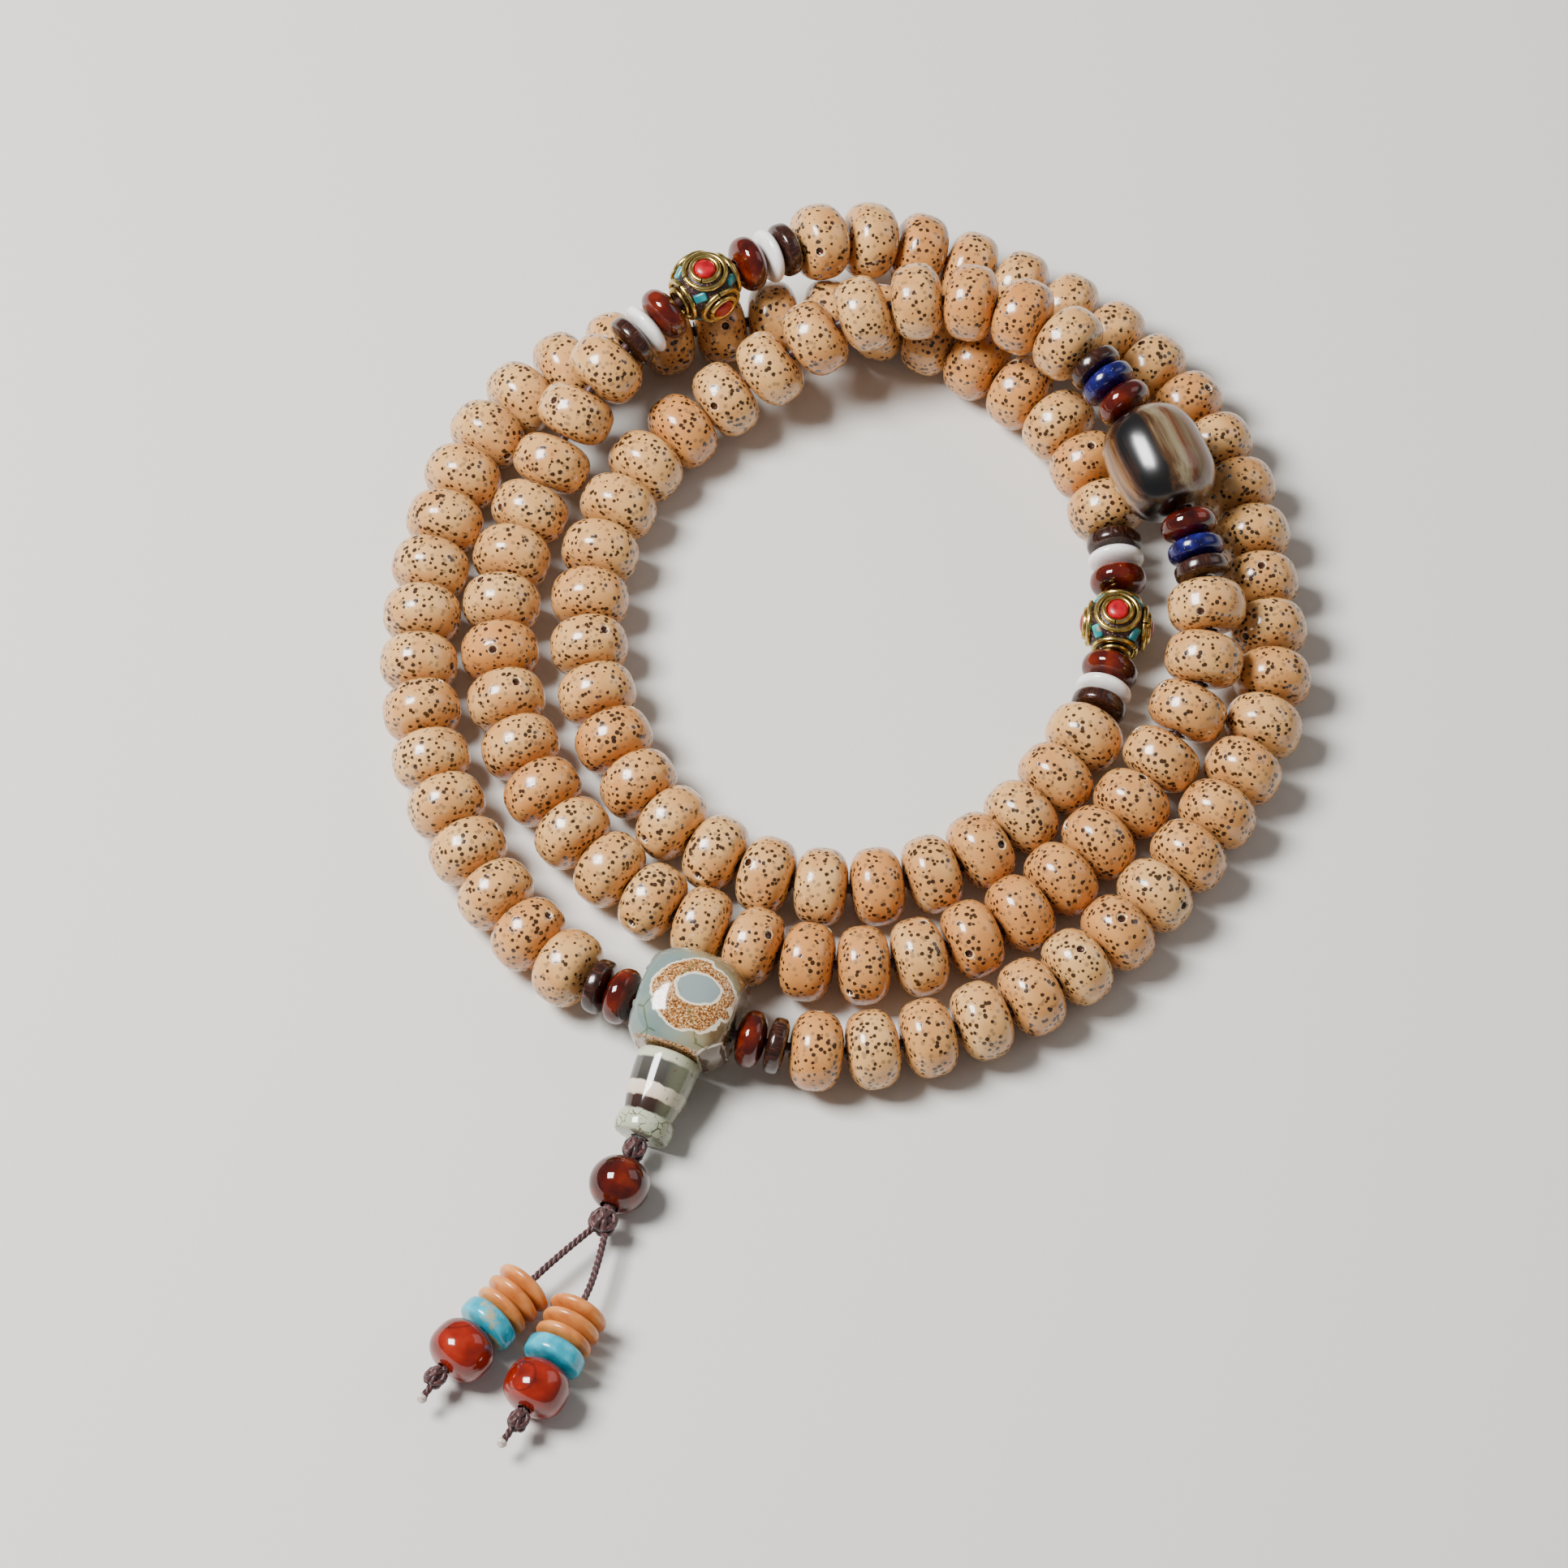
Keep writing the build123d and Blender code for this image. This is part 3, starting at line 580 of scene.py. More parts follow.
def lapis():
    finish, shader = new_finish(
        "polished_lapis_lazuli", Roughness=0.18, IOR=1.5, Coat_Weight=0.25, Coat_Roughness=0.05
    )
    place = place_on_bead(finish)
    clouds = add(finish, "TexNoise", {"Vector": place, "Scale": 0.9, "Detail": 6.0}).outputs[0]
    shade = add(
        finish, "ValToRGB", {"Fac": clouds},
        ramp=[(0.32, "06062a"), (0.55, "100f58"), (0.78, "262a78")],
    )
    specks = add(finish, "TexVoronoi", {"Vector": place, "Scale": 1.6}).outputs[0]
    fleck = add(finish, "MapRange", {0: specks, 1: 0.08, 2: 0.14, 3: 0.35, 4: 0.0}).outputs[0]
    flecked = add(
        finish, "Mix", {0: fleck, 6: shade.outputs[0], 7: colour("b9b6a8")}, data_type="RGBA"
    )
    link(finish, flecked.outputs[2], shader, "Base Color")
    return finish


def coconut_shell():
    finish, shader = new_finish(
        "polished_coconut_shell", Roughness=0.2, IOR=1.5, Coat_Weight=0.4, Coat_Roughness=0.08
    )
    place = place_on_bead(finish, (1, 1, 0.25))
    grain = add(finish, "TexNoise", {"Vector": place, "Scale": 3.2, "Detail": 4.0}).outputs[0]
    shade = add(
        finish, "ValToRGB", {"Fac": grain},
        ramp=[(0.35, "190b07"), (0.58, "351910"), (0.78, "5e3826")],
    )
    link(finish, shade.outputs[0], shader, "Base Color")
    bump = add(finish, "Bump", {"Height": grain, "Strength": 0.15, "Distance": 0.00006})
    link(finish, bump.outputs[0], shader, "Normal")
    return finish


# %% The spacers
SPACERS = {
    "carnelian": (7.3, 3.8, 2.2, 2.4, carnelian(), "carnelian"),
    "white": (7.2, 2.2, 2.2, 2.4, white_shell(), "white_shell"),
    "lapis": (7.3, 2.9, 2.2, 3.0, lapis(), "lapis"),
    "coconut": (7.1, 2.5, 2.2, 3.6, coconut_shell(), "coconut_shell"),
}
PATTERN_SHIFTS = random.Random(27)


def turned_piece(node, size, finish):
    """One turned bead in the place and direction of its node's own joint."""
    joint = JOINTS[NODES[node]["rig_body"]]
    matrix = bead_matrix(joint["pos_m"], joint["axis"], PATTERN_SHIFTS.uniform(0, 2 * math.pi))
    shift = [PATTERN_SHIFTS.uniform(-50, 50) for _ in range(3)]
    parts = [(bead(*size, points=23), matrix, shift, PATTERN_SHIFTS.random())]
    return make_piece(f"polished_{node}", parts, finish, [node])


for node in sorted(NODES):
    kind = node.split("_")[0]
    if kind in SPACERS and ("_before_" in node or "_after_" in node):
        *size, finish, slot = SPACERS[kind]
        turned_piece(node, size, finish)
print(sum("_before_" in node or "_after_" in node for node in NODES), "spacers")

# %% [markdown]
# ## The inlaid brass balls
# A Nepalese-style ball is a dark resin core, set with pairs of brass wire rings, coral cabochons
# and turquoise chips, then ground and polished. Each ring is a length of wire bent round until
# its ends nearly meet, so a wire's round section is spun about the ring's axis and stops just
# short of a full turn. That leaves the small butt joint that shows a ring was bent and not cast.


# %% Brass, resin, coral and turquoise
def brass_wire():
    finish, shader = new_finish("polished_brass_wire", Metallic=1.0, Roughness=0.2)
    place = place_on_bead(finish)
    tarnish = add(finish, "TexNoise", {"Vector": place, "Scale": 1.1, "Detail": 4.0}).outputs[0]
    shade = add(
        finish, "ValToRGB", {"Fac": tarnish}, ramp=[(0.3, "8c7334"), (0.5, "cdb264"), (0.7, "e6d494")]
    )
    link(finish, shade.outputs[0], shader, "Base Color")
    rough = add(finish, "MapRange", {0: tarnish, 1: 0.3, 2: 0.7, 3: 0.3, 4: 0.16})
    link(finish, rough.outputs[0], shader, "Roughness")
    return finish


def dark_resin():
    finish, shader = new_finish("dark_inlay_resin", Roughness=0.4, IOR=1.5)
    place = place_on_bead(finish)
    grains = add(finish, "TexVoronoi", {"Vector": place, "Scale": 2.6}, feature="F1")
    shade = add(
        finish, "ValToRGB", {"Fac": grains.outputs[0]},
        ramp=[(0.08, "b09a8c"), (0.2, "4a2c30"), (0.55, "1e1014")],
    )
    link(finish, shade.outputs[0], shader, "Base Color")
    bump = add(finish, "Bump", {"Height": grains.outputs[0], "Strength": 0.4, "Distance": 0.0001})
    link(finish, bump.outputs[0], shader, "Normal")
    return finish


def coral():
    finish, shader = new_finish(
        "satin_red_coral", Roughness=0.3, IOR=1.5, Subsurface_Weight=0.15, Subsurface_Scale=0.0006
    )
    place = place_on_bead(finish)
    veins = add(finish, "TexNoise", {"Vector": place, "Scale": 1.2, "Detail": 3.0}).outputs[0]
    shade = add(finish, "ValToRGB", {"Fac": veins}, ramp=[(0.3, "7c0410"), (0.6, "b40a1e")])
    link(finish, shade.outputs[0], shader, "Base Color")
    return finish


def turquoise(name, tones, vein_scale, vein_share):
    """Turquoise in three tones, dark to light, with a tan web of its mother rock."""
    finish, shader = new_finish(name, Roughness=0.2, IOR=1.55, Coat_Weight=0.3, Coat_Roughness=0.06)
    place = place_on_bead(finish)
    clouds = add(finish, "TexNoise", {"Vector": place, "Scale": 0.5, "Detail": 4.0})
    base = add(
        finish, "ValToRGB", {"Fac": clouds.outputs[0]},
        ramp=list(zip((0.35, 0.55, 0.72), tones)),
    )
    bent = add(finish, "Mix", {0: 0.45, 4: place, 5: clouds.outputs[1]}, data_type="VECTOR")
    web = add(finish, "TexNoise", {"Vector": bent.outputs[1], "Scale": vein_scale, "Detail": 7.0})
    mask = add(
        finish, "MapRange",
        {0: web.outputs[0], 1: 1 - vein_share, 2: 1.04 - vein_share, 3: 0.0, 4: 0.85},
    )
    veined = add(
        finish, "Mix", {0: mask.outputs[0], 6: base.outputs[0], 7: colour("a5976c")}, data_type="RGBA"
    )
    link(finish, veined.outputs[2], shader, "Base Color")
    return finish


BRASS, RESIN, CORAL = brass_wire(), dark_resin(), coral()
CHIP_TURQUOISE = turquoise("turquoise_chip", ("106a72", "17858a", "3aa19e"), 0.9, 0.36)

# %% Parts of a ball, in millimetres with the bore along z
CORE = (8.5, 8.2, 2.2, 2.0)
WIRE_RADIUS = 0.36
RING_SPHERE = 4.4
RING_DIAMETERS = (5.3, 3.5)
BUTT_GAP = math.radians(5)
CABOCHON_RADIUS = 1.36
CABOCHON_TOP = 4.75
CHIP_SIZE = (1.75, 1.25, 0.9)
CHIP_TOP = 4.42


def wire_ring(diameter):
    """A bent wire ring round +z whose ends nearly meet."""
    shape = bmesh.new()
    height = math.sqrt(RING_SPHERE**2 - (diameter / 2) ** 2)
    bmesh.ops.create_circle(shape, cap_ends=True, radius=WIRE_RADIUS, segments=14)
    section = Matrix.Translation((diameter / 2, 0, height)) @ Matrix.Rotation(math.pi / 2, 4, "X")
    bmesh.ops.transform(shape, matrix=section, verts=shape.verts)
    bmesh.ops.spin(
        shape, geom=shape.faces, axis=(0, 0, 1), angle=2 * math.pi - BUTT_GAP, steps=56,
        use_duplicate=False,
    )
    bmesh.ops.remove_doubles(shape, verts=shape.verts, dist=1e-4)
    bmesh.ops.recalc_face_normals(shape, faces=shape.faces)
    return shape


def cabochon():
    """A low dome with a rounded shoulder, sunk in the resin."""
    dome = [(CABOCHON_RADIUS, 3.6)]
    for step in range(9):
        angle = math.pi / 2 * step / 8
        height = CABOCHON_TOP - 0.62 + 0.62 * math.sin(angle)
        dome.append((CABOCHON_RADIUS * math.cos(angle) ** 0.8, height))
    return spin_outline(dome, steps=32, closed=False)


def chip():
    """A chip of stone with ground, rounded corners."""
    shape = bmesh.new()
    bmesh.ops.create_cube(shape, size=1)
    bmesh.ops.scale(shape, vec=CHIP_SIZE, verts=shape.verts)
    bmesh.ops.translate(shape, vec=(0, 0, CHIP_TOP - CHIP_SIZE[2] / 2), verts=shape.verts)
    bmesh.ops.bevel(
        shape, geom=shape.edges, offset=0.3, segments=4, profile=0.5, affect="EDGES", material=-1
    )
    return shape


def dress_ball(ball):
    """Rings, corals and chips round one resin core, each set turned to its own side."""
    joint = JOINTS[ball]
    seat = bead_matrix(joint["pos_m"], joint["axis"])
    quarter = math.pi / 2
    sideways = Matrix.Rotation(quarter, 4, "Y")
    equator = [Matrix.Rotation(turn * quarter, 4, "Z") @ sideways for turn in range(4)]
    ends = [Matrix.Identity(4), Matrix.Rotation(math.pi, 4, "X")]
    tilt = math.acos(1 / math.sqrt(3))
    corners = [
        Matrix.Rotation(math.radians(45 + 90 * turn), 4, "Z") @ Matrix.Rotation(lean, 4, "Y")
        for turn in range(4)
        for lean in (tilt, math.pi - tilt)
    ]
    rings = []
    for side in equator + ends:
        for diameter in RING_DIAMETERS:
            joint_turn = Matrix.Rotation(PATTERN_SHIFTS.uniform(0, 2 * math.pi), 4, "Z")
            rings.append((wire_ring(diameter), seat @ side @ joint_turn))
    groups = {
        "core": ([(bead(*CORE, points=25), seat)], RESIN, "resin_core"),
        "rings": (rings, BRASS, "brass_wire"),
        "corals": ([(cabochon(), seat @ side) for side in equator], CORAL, "coral"),
        "chips": ([(chip(), seat @ corner) for corner in corners], CHIP_TURQUOISE, "turquoise_chip"),
    }
    for kind, (shapes, finish, slot) in groups.items():
        parts = []
        for shape, matrix in shapes:
            shift = [PATTERN_SHIFTS.uniform(-50, 50) for _ in range(3)]
            parts.append((shape, matrix, shift, PATTERN_SHIFTS.random()))
        make_piece(f"{ball}_set_{kind}", parts, finish, [f"{ball}_{kind}"])
    print(f"{ball}: {len(rings)} rings, {len(equator)} corals, {len(corners)} chips")


for ball in ("first_ball", "second_ball"):
    dress_ball(ball)

# %% [markdown]
# ## The horn barrel
# Buffalo horn, turned and polished. Its layers run along the bore like planks, from blue-black
# through grey to amber, so the colour follows one direction across the bead, with fine fibres
# stretched along the bore.


# %% Horn
def polished_horn():
    finish, shader = new_finish(
        "polished_buffalo_horn", Roughness=0.24, IOR=1.54, Coat_Weight=0.35, Coat_Roughness=0.12,
        Subsurface_Weight=0.12, Subsurface_Scale=0.001,
    )
    place = place_on_bead(finish)
    fibres_place = add(finish, "Mapping", {"Vector": place, "Scale": (1, 1, 0.09)}).outputs[0]
    waves = add(finish, "TexNoise", {"Vector": fibres_place, "Scale": 0.45, "Detail": 3.0}).outputs[0]
    fibres = add(finish, "TexNoise", {"Vector": fibres_place, "Scale": 2.4, "Detail": 4.0}).outputs[0]
    across = add(finish, "SeparateXYZ", {0: place}).outputs[1]
    side = HORN[0] / 2
    layer = add(finish, "MapRange", {0: across, 1: -side, 2: side, 3: 0.0, 4: 1.0}).outputs[0]
    moved = add(finish, "Math", {0: waves, 1: 0.3, 2: -0.15}, operation="MULTIPLY_ADD").outputs[0]
    moved = add(finish, "Math", {0: layer, 1: moved}, operation="ADD").outputs[0]
    fine = add(finish, "Math", {0: fibres, 1: 0.12, 2: -0.06}, operation="MULTIPLY_ADD").outputs[0]
    moved = add(finish, "Math", {0: moved, 1: fine}, operation="ADD").outputs[0]
    shade = add(
        finish, "ValToRGB", {"Fac": moved},
        ramp=[
            (0.0, "3a2010"), (0.14, "6e3a10"), (0.25, "77694f"), (0.34, "5f2f10"), (0.44, "85775c"),
            (0.52, "4a3018"), (0.59, "120e0c"), (0.84, "060709"), (0.91, "3a1e0e"), (1.0, "8a6238"),
        ],
    )
    link(finish, shade.outputs[0], shader, "Base Color")
    return finish


HORN = (13.0, 14.5, 2.2, 2.9)
horn_joint = JOINTS["horn_barrel"]
horn_matrix = bead_matrix(horn_joint["pos_m"], horn_joint["axis"])
horn_parts = [(bead(*HORN, points=29), horn_matrix, (0, 0, 0), 0.5)]
make_piece("turned_horn_barrel", horn_parts, polished_horn(), ["horn_barrel"])

# %% [markdown]
# ## The round carnelian bead and the beads of the drops
# Below the guru bead hang a round carnelian bead and, on each cord, three waxy orange stone
# discs, a straight-sided turquoise disc and a brick-red agate barrel.


# %% Orange stone and red agate
def orange_wax_stone():
    finish, shader = new_finish(
        "waxy_orange_stone", Roughness=0.27, IOR=1.5, Subsurface_Weight=0.2, Subsurface_Scale=0.0008,
        Coat_Weight=0.2, Coat_Roughness=0.15,
    )
    place = place_on_bead(finish)
    clouds = add(finish, "TexNoise", {"Vector": place, "Scale": 0.4, "Detail": 5.0}).outputs[0]
    shade = add(
        finish, "ValToRGB", {"Fac": clouds}, ramp=[(0.3, "b0602a"), (0.5, "cf7f3c"), (0.7, "dc9450")]
    )
    link(finish, shade.outputs[0], shader, "Base Color")
    return finish


def red_agate():
    finish, shader = new_finish(
        "polished_red_agate", Roughness=0.12, IOR=1.54, Coat_Weight=0.3, Coat_Roughness=0.04,
        Subsurface_Weight=0.2, Subsurface_Scale=0.0008,
    )
    place = place_on_bead(finish)
    clouds = add(finish, "TexNoise", {"Vector": place, "Scale": 0.3, "Detail": 3.0})
    shade = add(
        finish, "ValToRGB", {"Fac": clouds.outputs[0]},
        ramp=[(0.3, "5c0f06"), (0.55, "8a1c0a"), (0.75, "a03016")],
    )
    bent = add(finish, "Mix", {0: 0.5, 4: place, 5: clouds.outputs[1]}, data_type="VECTOR").outputs[1]
    cracks = add(
        finish, "TexVoronoi", {"Vector": bent, "Scale": 0.16}, feature="DISTANCE_TO_EDGE"
    ).outputs[0]
    vein = add(finish, "MapRange", {0: cracks, 1: 0.002, 2: 0.01, 3: 0.5, 4: 0.0}).outputs[0]
    veined = add(finish, "Mix", {0: vein, 6: shade.outputs[0], 7: colour("2a0a08")}, data_type="RGBA")
    link(finish, veined.outputs[2], shader, "Base Color")
    return finish


# %% Turning them
DISC_TONES = ("0f8fa6", "21acc4", "58c6d2")
DROP_BORE = 1.85
ORANGE_STONE = orange_wax_stone()
DISC_TURQUOISE = turquoise("turquoise_disc", DISC_TONES, 0.4, 0.4)
DROP_BEADS = {
    "orange_disc_1": ((7.5, 1.9, DROP_BORE, 2.6), ORANGE_STONE, "orange_wax_stone"),
    "turquoise_disc": ((7.6, 2.8, DROP_BORE, 4.5), DISC_TURQUOISE, "turquoise_disc"),
    "red_barrel": ((8.0, 6.6, DROP_BORE, 2.6), red_agate(), "red_agate"),
}
DROP_BEADS["orange_disc_2"] = DROP_BEADS["orange_disc_1"]
DROP_BEADS["orange_disc_3"] = ((7.3, 1.9, DROP_BORE, 2.6), *DROP_BEADS["orange_disc_1"][1:])
for side in DROP_ROUTES:
    for kind, (size, finish, slot) in sorted(DROP_BEADS.items()):
        node = f"{kind}_{side}"
        low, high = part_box(node)
        axis = [-value for value in JOINTS[f"red_barrel_{side}"]["axis"]]
        turn = PATTERN_SHIFTS.uniform(0, 2 * math.pi)
        shift = [PATTERN_SHIFTS.uniform(-50, 50) for _ in range(3)]
        parts = [(bead(*size, points=23), bead_matrix((low + high) / 2, axis, turn), shift, 0.5)]
        make_piece(f"polished_{node}", parts, finish, [node])
turned_piece("carnelian_ball", (7.6, 7.25, 2.4, 2.0), SPACERS["carnelian"][4])
print("beads of the drops turned")

# %% [markdown]
# ## The guru bead
# The guru bead is a drum of banded agate with three holes. It is turned like the others, then
# cut flat where the string enters on both sides and where the stupa bead meets its front. The
# cut edges are eased with a bevel. Its finish reads the bead's own place: an eye on top with a
# ring of brown rind, thin cream outlines where the layers meet, rind round the front seat and on
# one corner, and a few green cracks.

# %% Guru bead finish
EYE_CENTRE = (0.7, 1.7)
EYE_RADII = (5.2, 4.6)
PUPIL_CENTRE = (1.2, 2.5)
PUPIL_RADII = (2.8, 2.1)


def oval(material, x, y, centre, radii, wander):
    """Distance from an oval's middle as a share of its radius, with an uneven edge."""
    ratios = []
    for value, middle, radius in zip((x, y), centre, radii):
        moved = add(material, "Math", {0: value, 1: middle}, operation="SUBTRACT").outputs[0]
        ratios.append(add(material, "Math", {0: moved, 1: radius}, operation="DIVIDE").outputs[0])
    joined = add(material, "CombineXYZ", {0: ratios[0], 1: ratios[1]}).outputs[0]
    length = add(material, "VectorMath", {0: joined}, operation="LENGTH").outputs["Value"]
    return add(material, "Math", {0: length, 1: wander}, operation="ADD").outputs[0]


def banded_agate():
    finish, shader = new_finish(
        "banded_agate", Roughness=0.1, IOR=1.54, Coat_Weight=0.3, Coat_Roughness=0.03,
        Subsurface_Weight=0.3, Subsurface_Scale=0.0015,
    )
    place = place_on_bead(finish)
    parts = add(finish, "SeparateXYZ", {0: place}).outputs
    x, y, z = parts[0], parts[1], parts[2]
    clouds = add(finish, "TexNoise", {"Vector": place, "Scale": 0.18, "Detail": 4.0}).outputs[0]
    lean = add(finish, "MapRange", {0: x, 1: -4.0, 2: 6.0, 3: -0.18, 4: 0.22}).outputs[0]
    body_mix = add(finish, "Math", {0: clouds, 1: lean}, operation="ADD").outputs[0]
    base = add(
        finish, "ValToRGB", {"Fac": body_mix},
        ramp=[(0.3, "70817c"), (0.46, "848f80"), (0.6, "958a6a"), (0.8, "6e5636")],
    ).outputs[0]
    edge = add(finish, "TexNoise", {"Vector": place, "Scale": 0.42, "Detail": 2.0}).outputs[0]
    wander = add(finish, "Math", {0: edge, 1: 0.5, 2: -0.25}, operation="MULTIPLY_ADD").outputs[0]
    speckle = add(finish, "TexNoise", {"Vector": place, "Scale": 4.2, "Detail": 7.0}).outputs[0]
    rind = add(
        finish, "ValToRGB", {"Fac": speckle},
        ramp=[(0.36, "4e2a14"), (0.46, "8e5828"), (0.54, "b4824a"), (0.66, "dcc49a")],
    ).outputs[0]
    eye = oval(finish, x, y, EYE_CENTRE, EYE_RADII, wander)
    pupil = oval(finish, x, y, PUPIL_CENTRE, PUPIL_RADII, wander)
    top = add(finish, "MapRange", {0: z, 1: 2.2, 2: 2.6, 3: 0.0, 4: 1.0}).outputs[0]
    eye_mask = add(finish, "MapRange", {0: eye, 1: 1.0, 2: 0.98, 3: 0.0, 4: 1.0}).outputs[0]
    eye_mask = add(finish, "Math", {0: eye_mask, 1: top}, operation="MULTIPLY").outputs[0]
    pupil_mask = add(finish, "MapRange", {0: pupil, 1: 1.0, 2: 0.97, 3: 0.0, 4: 1.0}).outputs[0]
    pupil_mask = add(finish, "Math", {0: pupil_mask, 1: top}, operation="MULTIPLY").outputs[0]
    front = add(finish, "MapRange", {0: y, 1: -4.7, 2: -4.5, 3: 1.0, 4: 0.0}).outputs[0]
    corner = add(finish, "Math", {0: x, 1: y}, operation="SUBTRACT").outputs[0]
    corner = add(finish, "Math", {0: corner, 1: edge}, operation="ADD").outputs[0]
    corner_mask = add(finish, "MapRange", {0: corner, 1: 8.9, 2: 9.0, 3: 0.0, 4: 1.0}).outputs[0]
    layers = [
        (eye_mask, rind),
        (pupil_mask, colour("83908e")),
        (front, rind),
        (corner_mask, colour("6d5a48")),
    ]
    for mask, tone in layers:
        base = add(finish, "Mix", {0: mask, 6: base, 7: tone}, data_type="RGBA").outputs[2]
    outlines = [(eye, 1.0, 0.035, top), (pupil, 1.0, 0.07, top), (corner, 8.95, 0.16, None)]
    for value, middle, half_width, inside in outlines:
        away = add(finish, "Math", {0: value, 1: middle, 2: half_width}, operation="COMPARE").outputs[0]
        if inside is not None:
            away = add(finish, "Math", {0: away, 1: inside}, operation="MULTIPLY").outputs[0]
        base = add(finish, "Mix", {0: away, 6: base, 7: colour("dccfb6")}, data_type="RGBA").outputs[2]
    bent = add(finish, "TexNoise", {"Vector": place, "Scale": 0.5, "Detail": 4.0}).outputs[1]
    bent = add(finish, "Mix", {0: 0.35, 4: place, 5: bent}, data_type="VECTOR").outputs[1]
    cracks = add(
        finish, "TexVoronoi", {"Vector": bent, "Scale": 0.13}, feature="DISTANCE_TO_EDGE"
    ).outputs[0]
    crack = add(finish, "MapRange", {0: cracks, 1: 0.003, 2: 0.014, 3: 0.8, 4: 0.0}).outputs[0]
    some = add(finish, "MapRange", {0: edge, 1: 0.48, 2: 0.56, 3: 0.0, 4: 1.0}).outputs[0]
    crack = add(finish, "Math", {0: crack, 1: some}, operation="MULTIPLY").outputs[0]
    base = add(finish, "Mix", {0: crack, 6: base, 7: colour("4a5a34")}, data_type="RGBA").outputs[2]
    link(finish, base, shader, "Base Color")
    return finish


# %% Guru bead shape
GURU = {"diameter": 14.6, "height": 13.2, "squareness": 2.7, "flat": 0.6, "plan": 2.6, "set_back": 1.2}
GURU_WIDTH = 12.5
GURU_SEAT = 5.1
GURU_EASE = 0.45


def guru_shape():
    shape = spin_outline(
        bead_outline(GURU["diameter"], GURU["height"], GURU["flat"], GURU["squareness"], 33),
        steps=96, closed=False,
    )
    bmesh.ops.holes_fill(shape, edges=shape.edges)
    for vert in shape.verts:
        away = max(math.hypot(vert.co.x, vert.co.y), 1e-6)
        across, along = abs(vert.co.x) / away, abs(vert.co.y) / away
        swell = (across**GURU["plan"] + along**GURU["plan"]) ** (-1 / GURU["plan"])
        vert.co = (vert.co.x * swell, vert.co.y * swell, vert.co.z)
    bmesh.ops.translate(shape, vec=(0, GURU["set_back"], 0), verts=shape.verts)
    cuts = [
        ((GURU_WIDTH / 2, 0, 0), (1, 0, 0)),
        ((-GURU_WIDTH / 2, 0, 0), (-1, 0, 0)),
        ((0, -GURU_SEAT, 0), (0, -1, 0)),
    ]
    for point, outward in cuts:
        everything = shape.verts[:] + shape.edges[:] + shape.faces[:]
        cut = bmesh.ops.bisect_plane(
            shape, geom=everything, plane_co=point, plane_no=outward, clear_outer=True
        )
        rim = [item for item in cut["geom_cut"] if isinstance(item, bmesh.types.BMEdge)]
        bmesh.ops.edgenet_fill(shape, edges=rim)
    bmesh.ops.recalc_face_normals(shape, faces=shape.faces)
    for point, outward in cuts:
        axis = Vector(outward)
        level = Vector(point).dot(axis)
        seat = max(shape.faces, key=lambda face: face.calc_area() * (face.normal.dot(axis) > 0.99))
        hole = STEM_BORE if outward[1] else STRING_BORE
        inset = bmesh.ops.inset_region(shape, faces=[seat], thickness=GURU_EASE)
        rim = {edge for face in inset["faces"] for edge in face.edges if edge not in seat.edges}
        for vert in {vert for edge in rim for vert in edge.verts}:
            if abs(vert.co.dot(axis) - level) < 1e-3:
                vert.co -= axis * GURU_EASE * 0.55
        dimple_seat(shape, seat, axis, level, hole)
    return shape


STRING_BORE = 2.2
STEM_BORE = 2.4
BORE_SHOWN = 2.2


def dimple_seat(shape, seat, axis, level, hole):
    """The mouth of a bore in a flat seat: the seat's middle is drawn in to a ring and sunk."""
    centre = axis * level
    ring = bmesh.ops.inset_region(shape, faces=[seat], thickness=0.05)
    assert ring["faces"]
    for vert in seat.verts:
        away = vert.co - centre
        vert.co = centre + away.normalized() * hole / 2
    pushed = bmesh.ops.extrude_face_region(shape, geom=[seat])
    sunk = [item for item in pushed["geom"] if isinstance(item, bmesh.types.BMVert)]
    bmesh.ops.translate(shape, vec=-axis * BORE_SHOWN, verts=sunk)
    bmesh.ops.delete(shape, geom=[seat], context="FACES_ONLY")


def set_guru():
    """The guru bead sits at its own solid's middle, its front towards the stupa bead."""
    stupa = JOINTS["stupa_bead"]
    down = Vector(stupa["axis"]).normalized()
    middle = Vector(stupa["pos_m"]) - down * (GURU_SEAT + 0.1) * MM
    across = Vector((0, 0, 1)).cross(down).normalized()
    raised = across.cross(-down)
    seat = Matrix((across, -down, raised)).transposed().to_4x4()
    matrix = Matrix.Translation(middle) @ seat @ Matrix.Scale(MM, 4)
    parts = [(guru_shape(), matrix, (0, 0, 0), 0.5)]
    return make_piece("agate_guru_bead", parts, banded_agate(), ["guru_bead"], 50)


print("guru bead:", len(set_guru().data.polygons), "faces")

# %% [markdown]
# ## The stupa bead
# The bead under the guru bead is banded agate too, turned with a crown, a waist and a flange.
# Its bands are square to the bore: cream-green, smoky grey, cream, dark brown, and a flange with
# black crackle. On one side the bands fade to a clear green-grey.


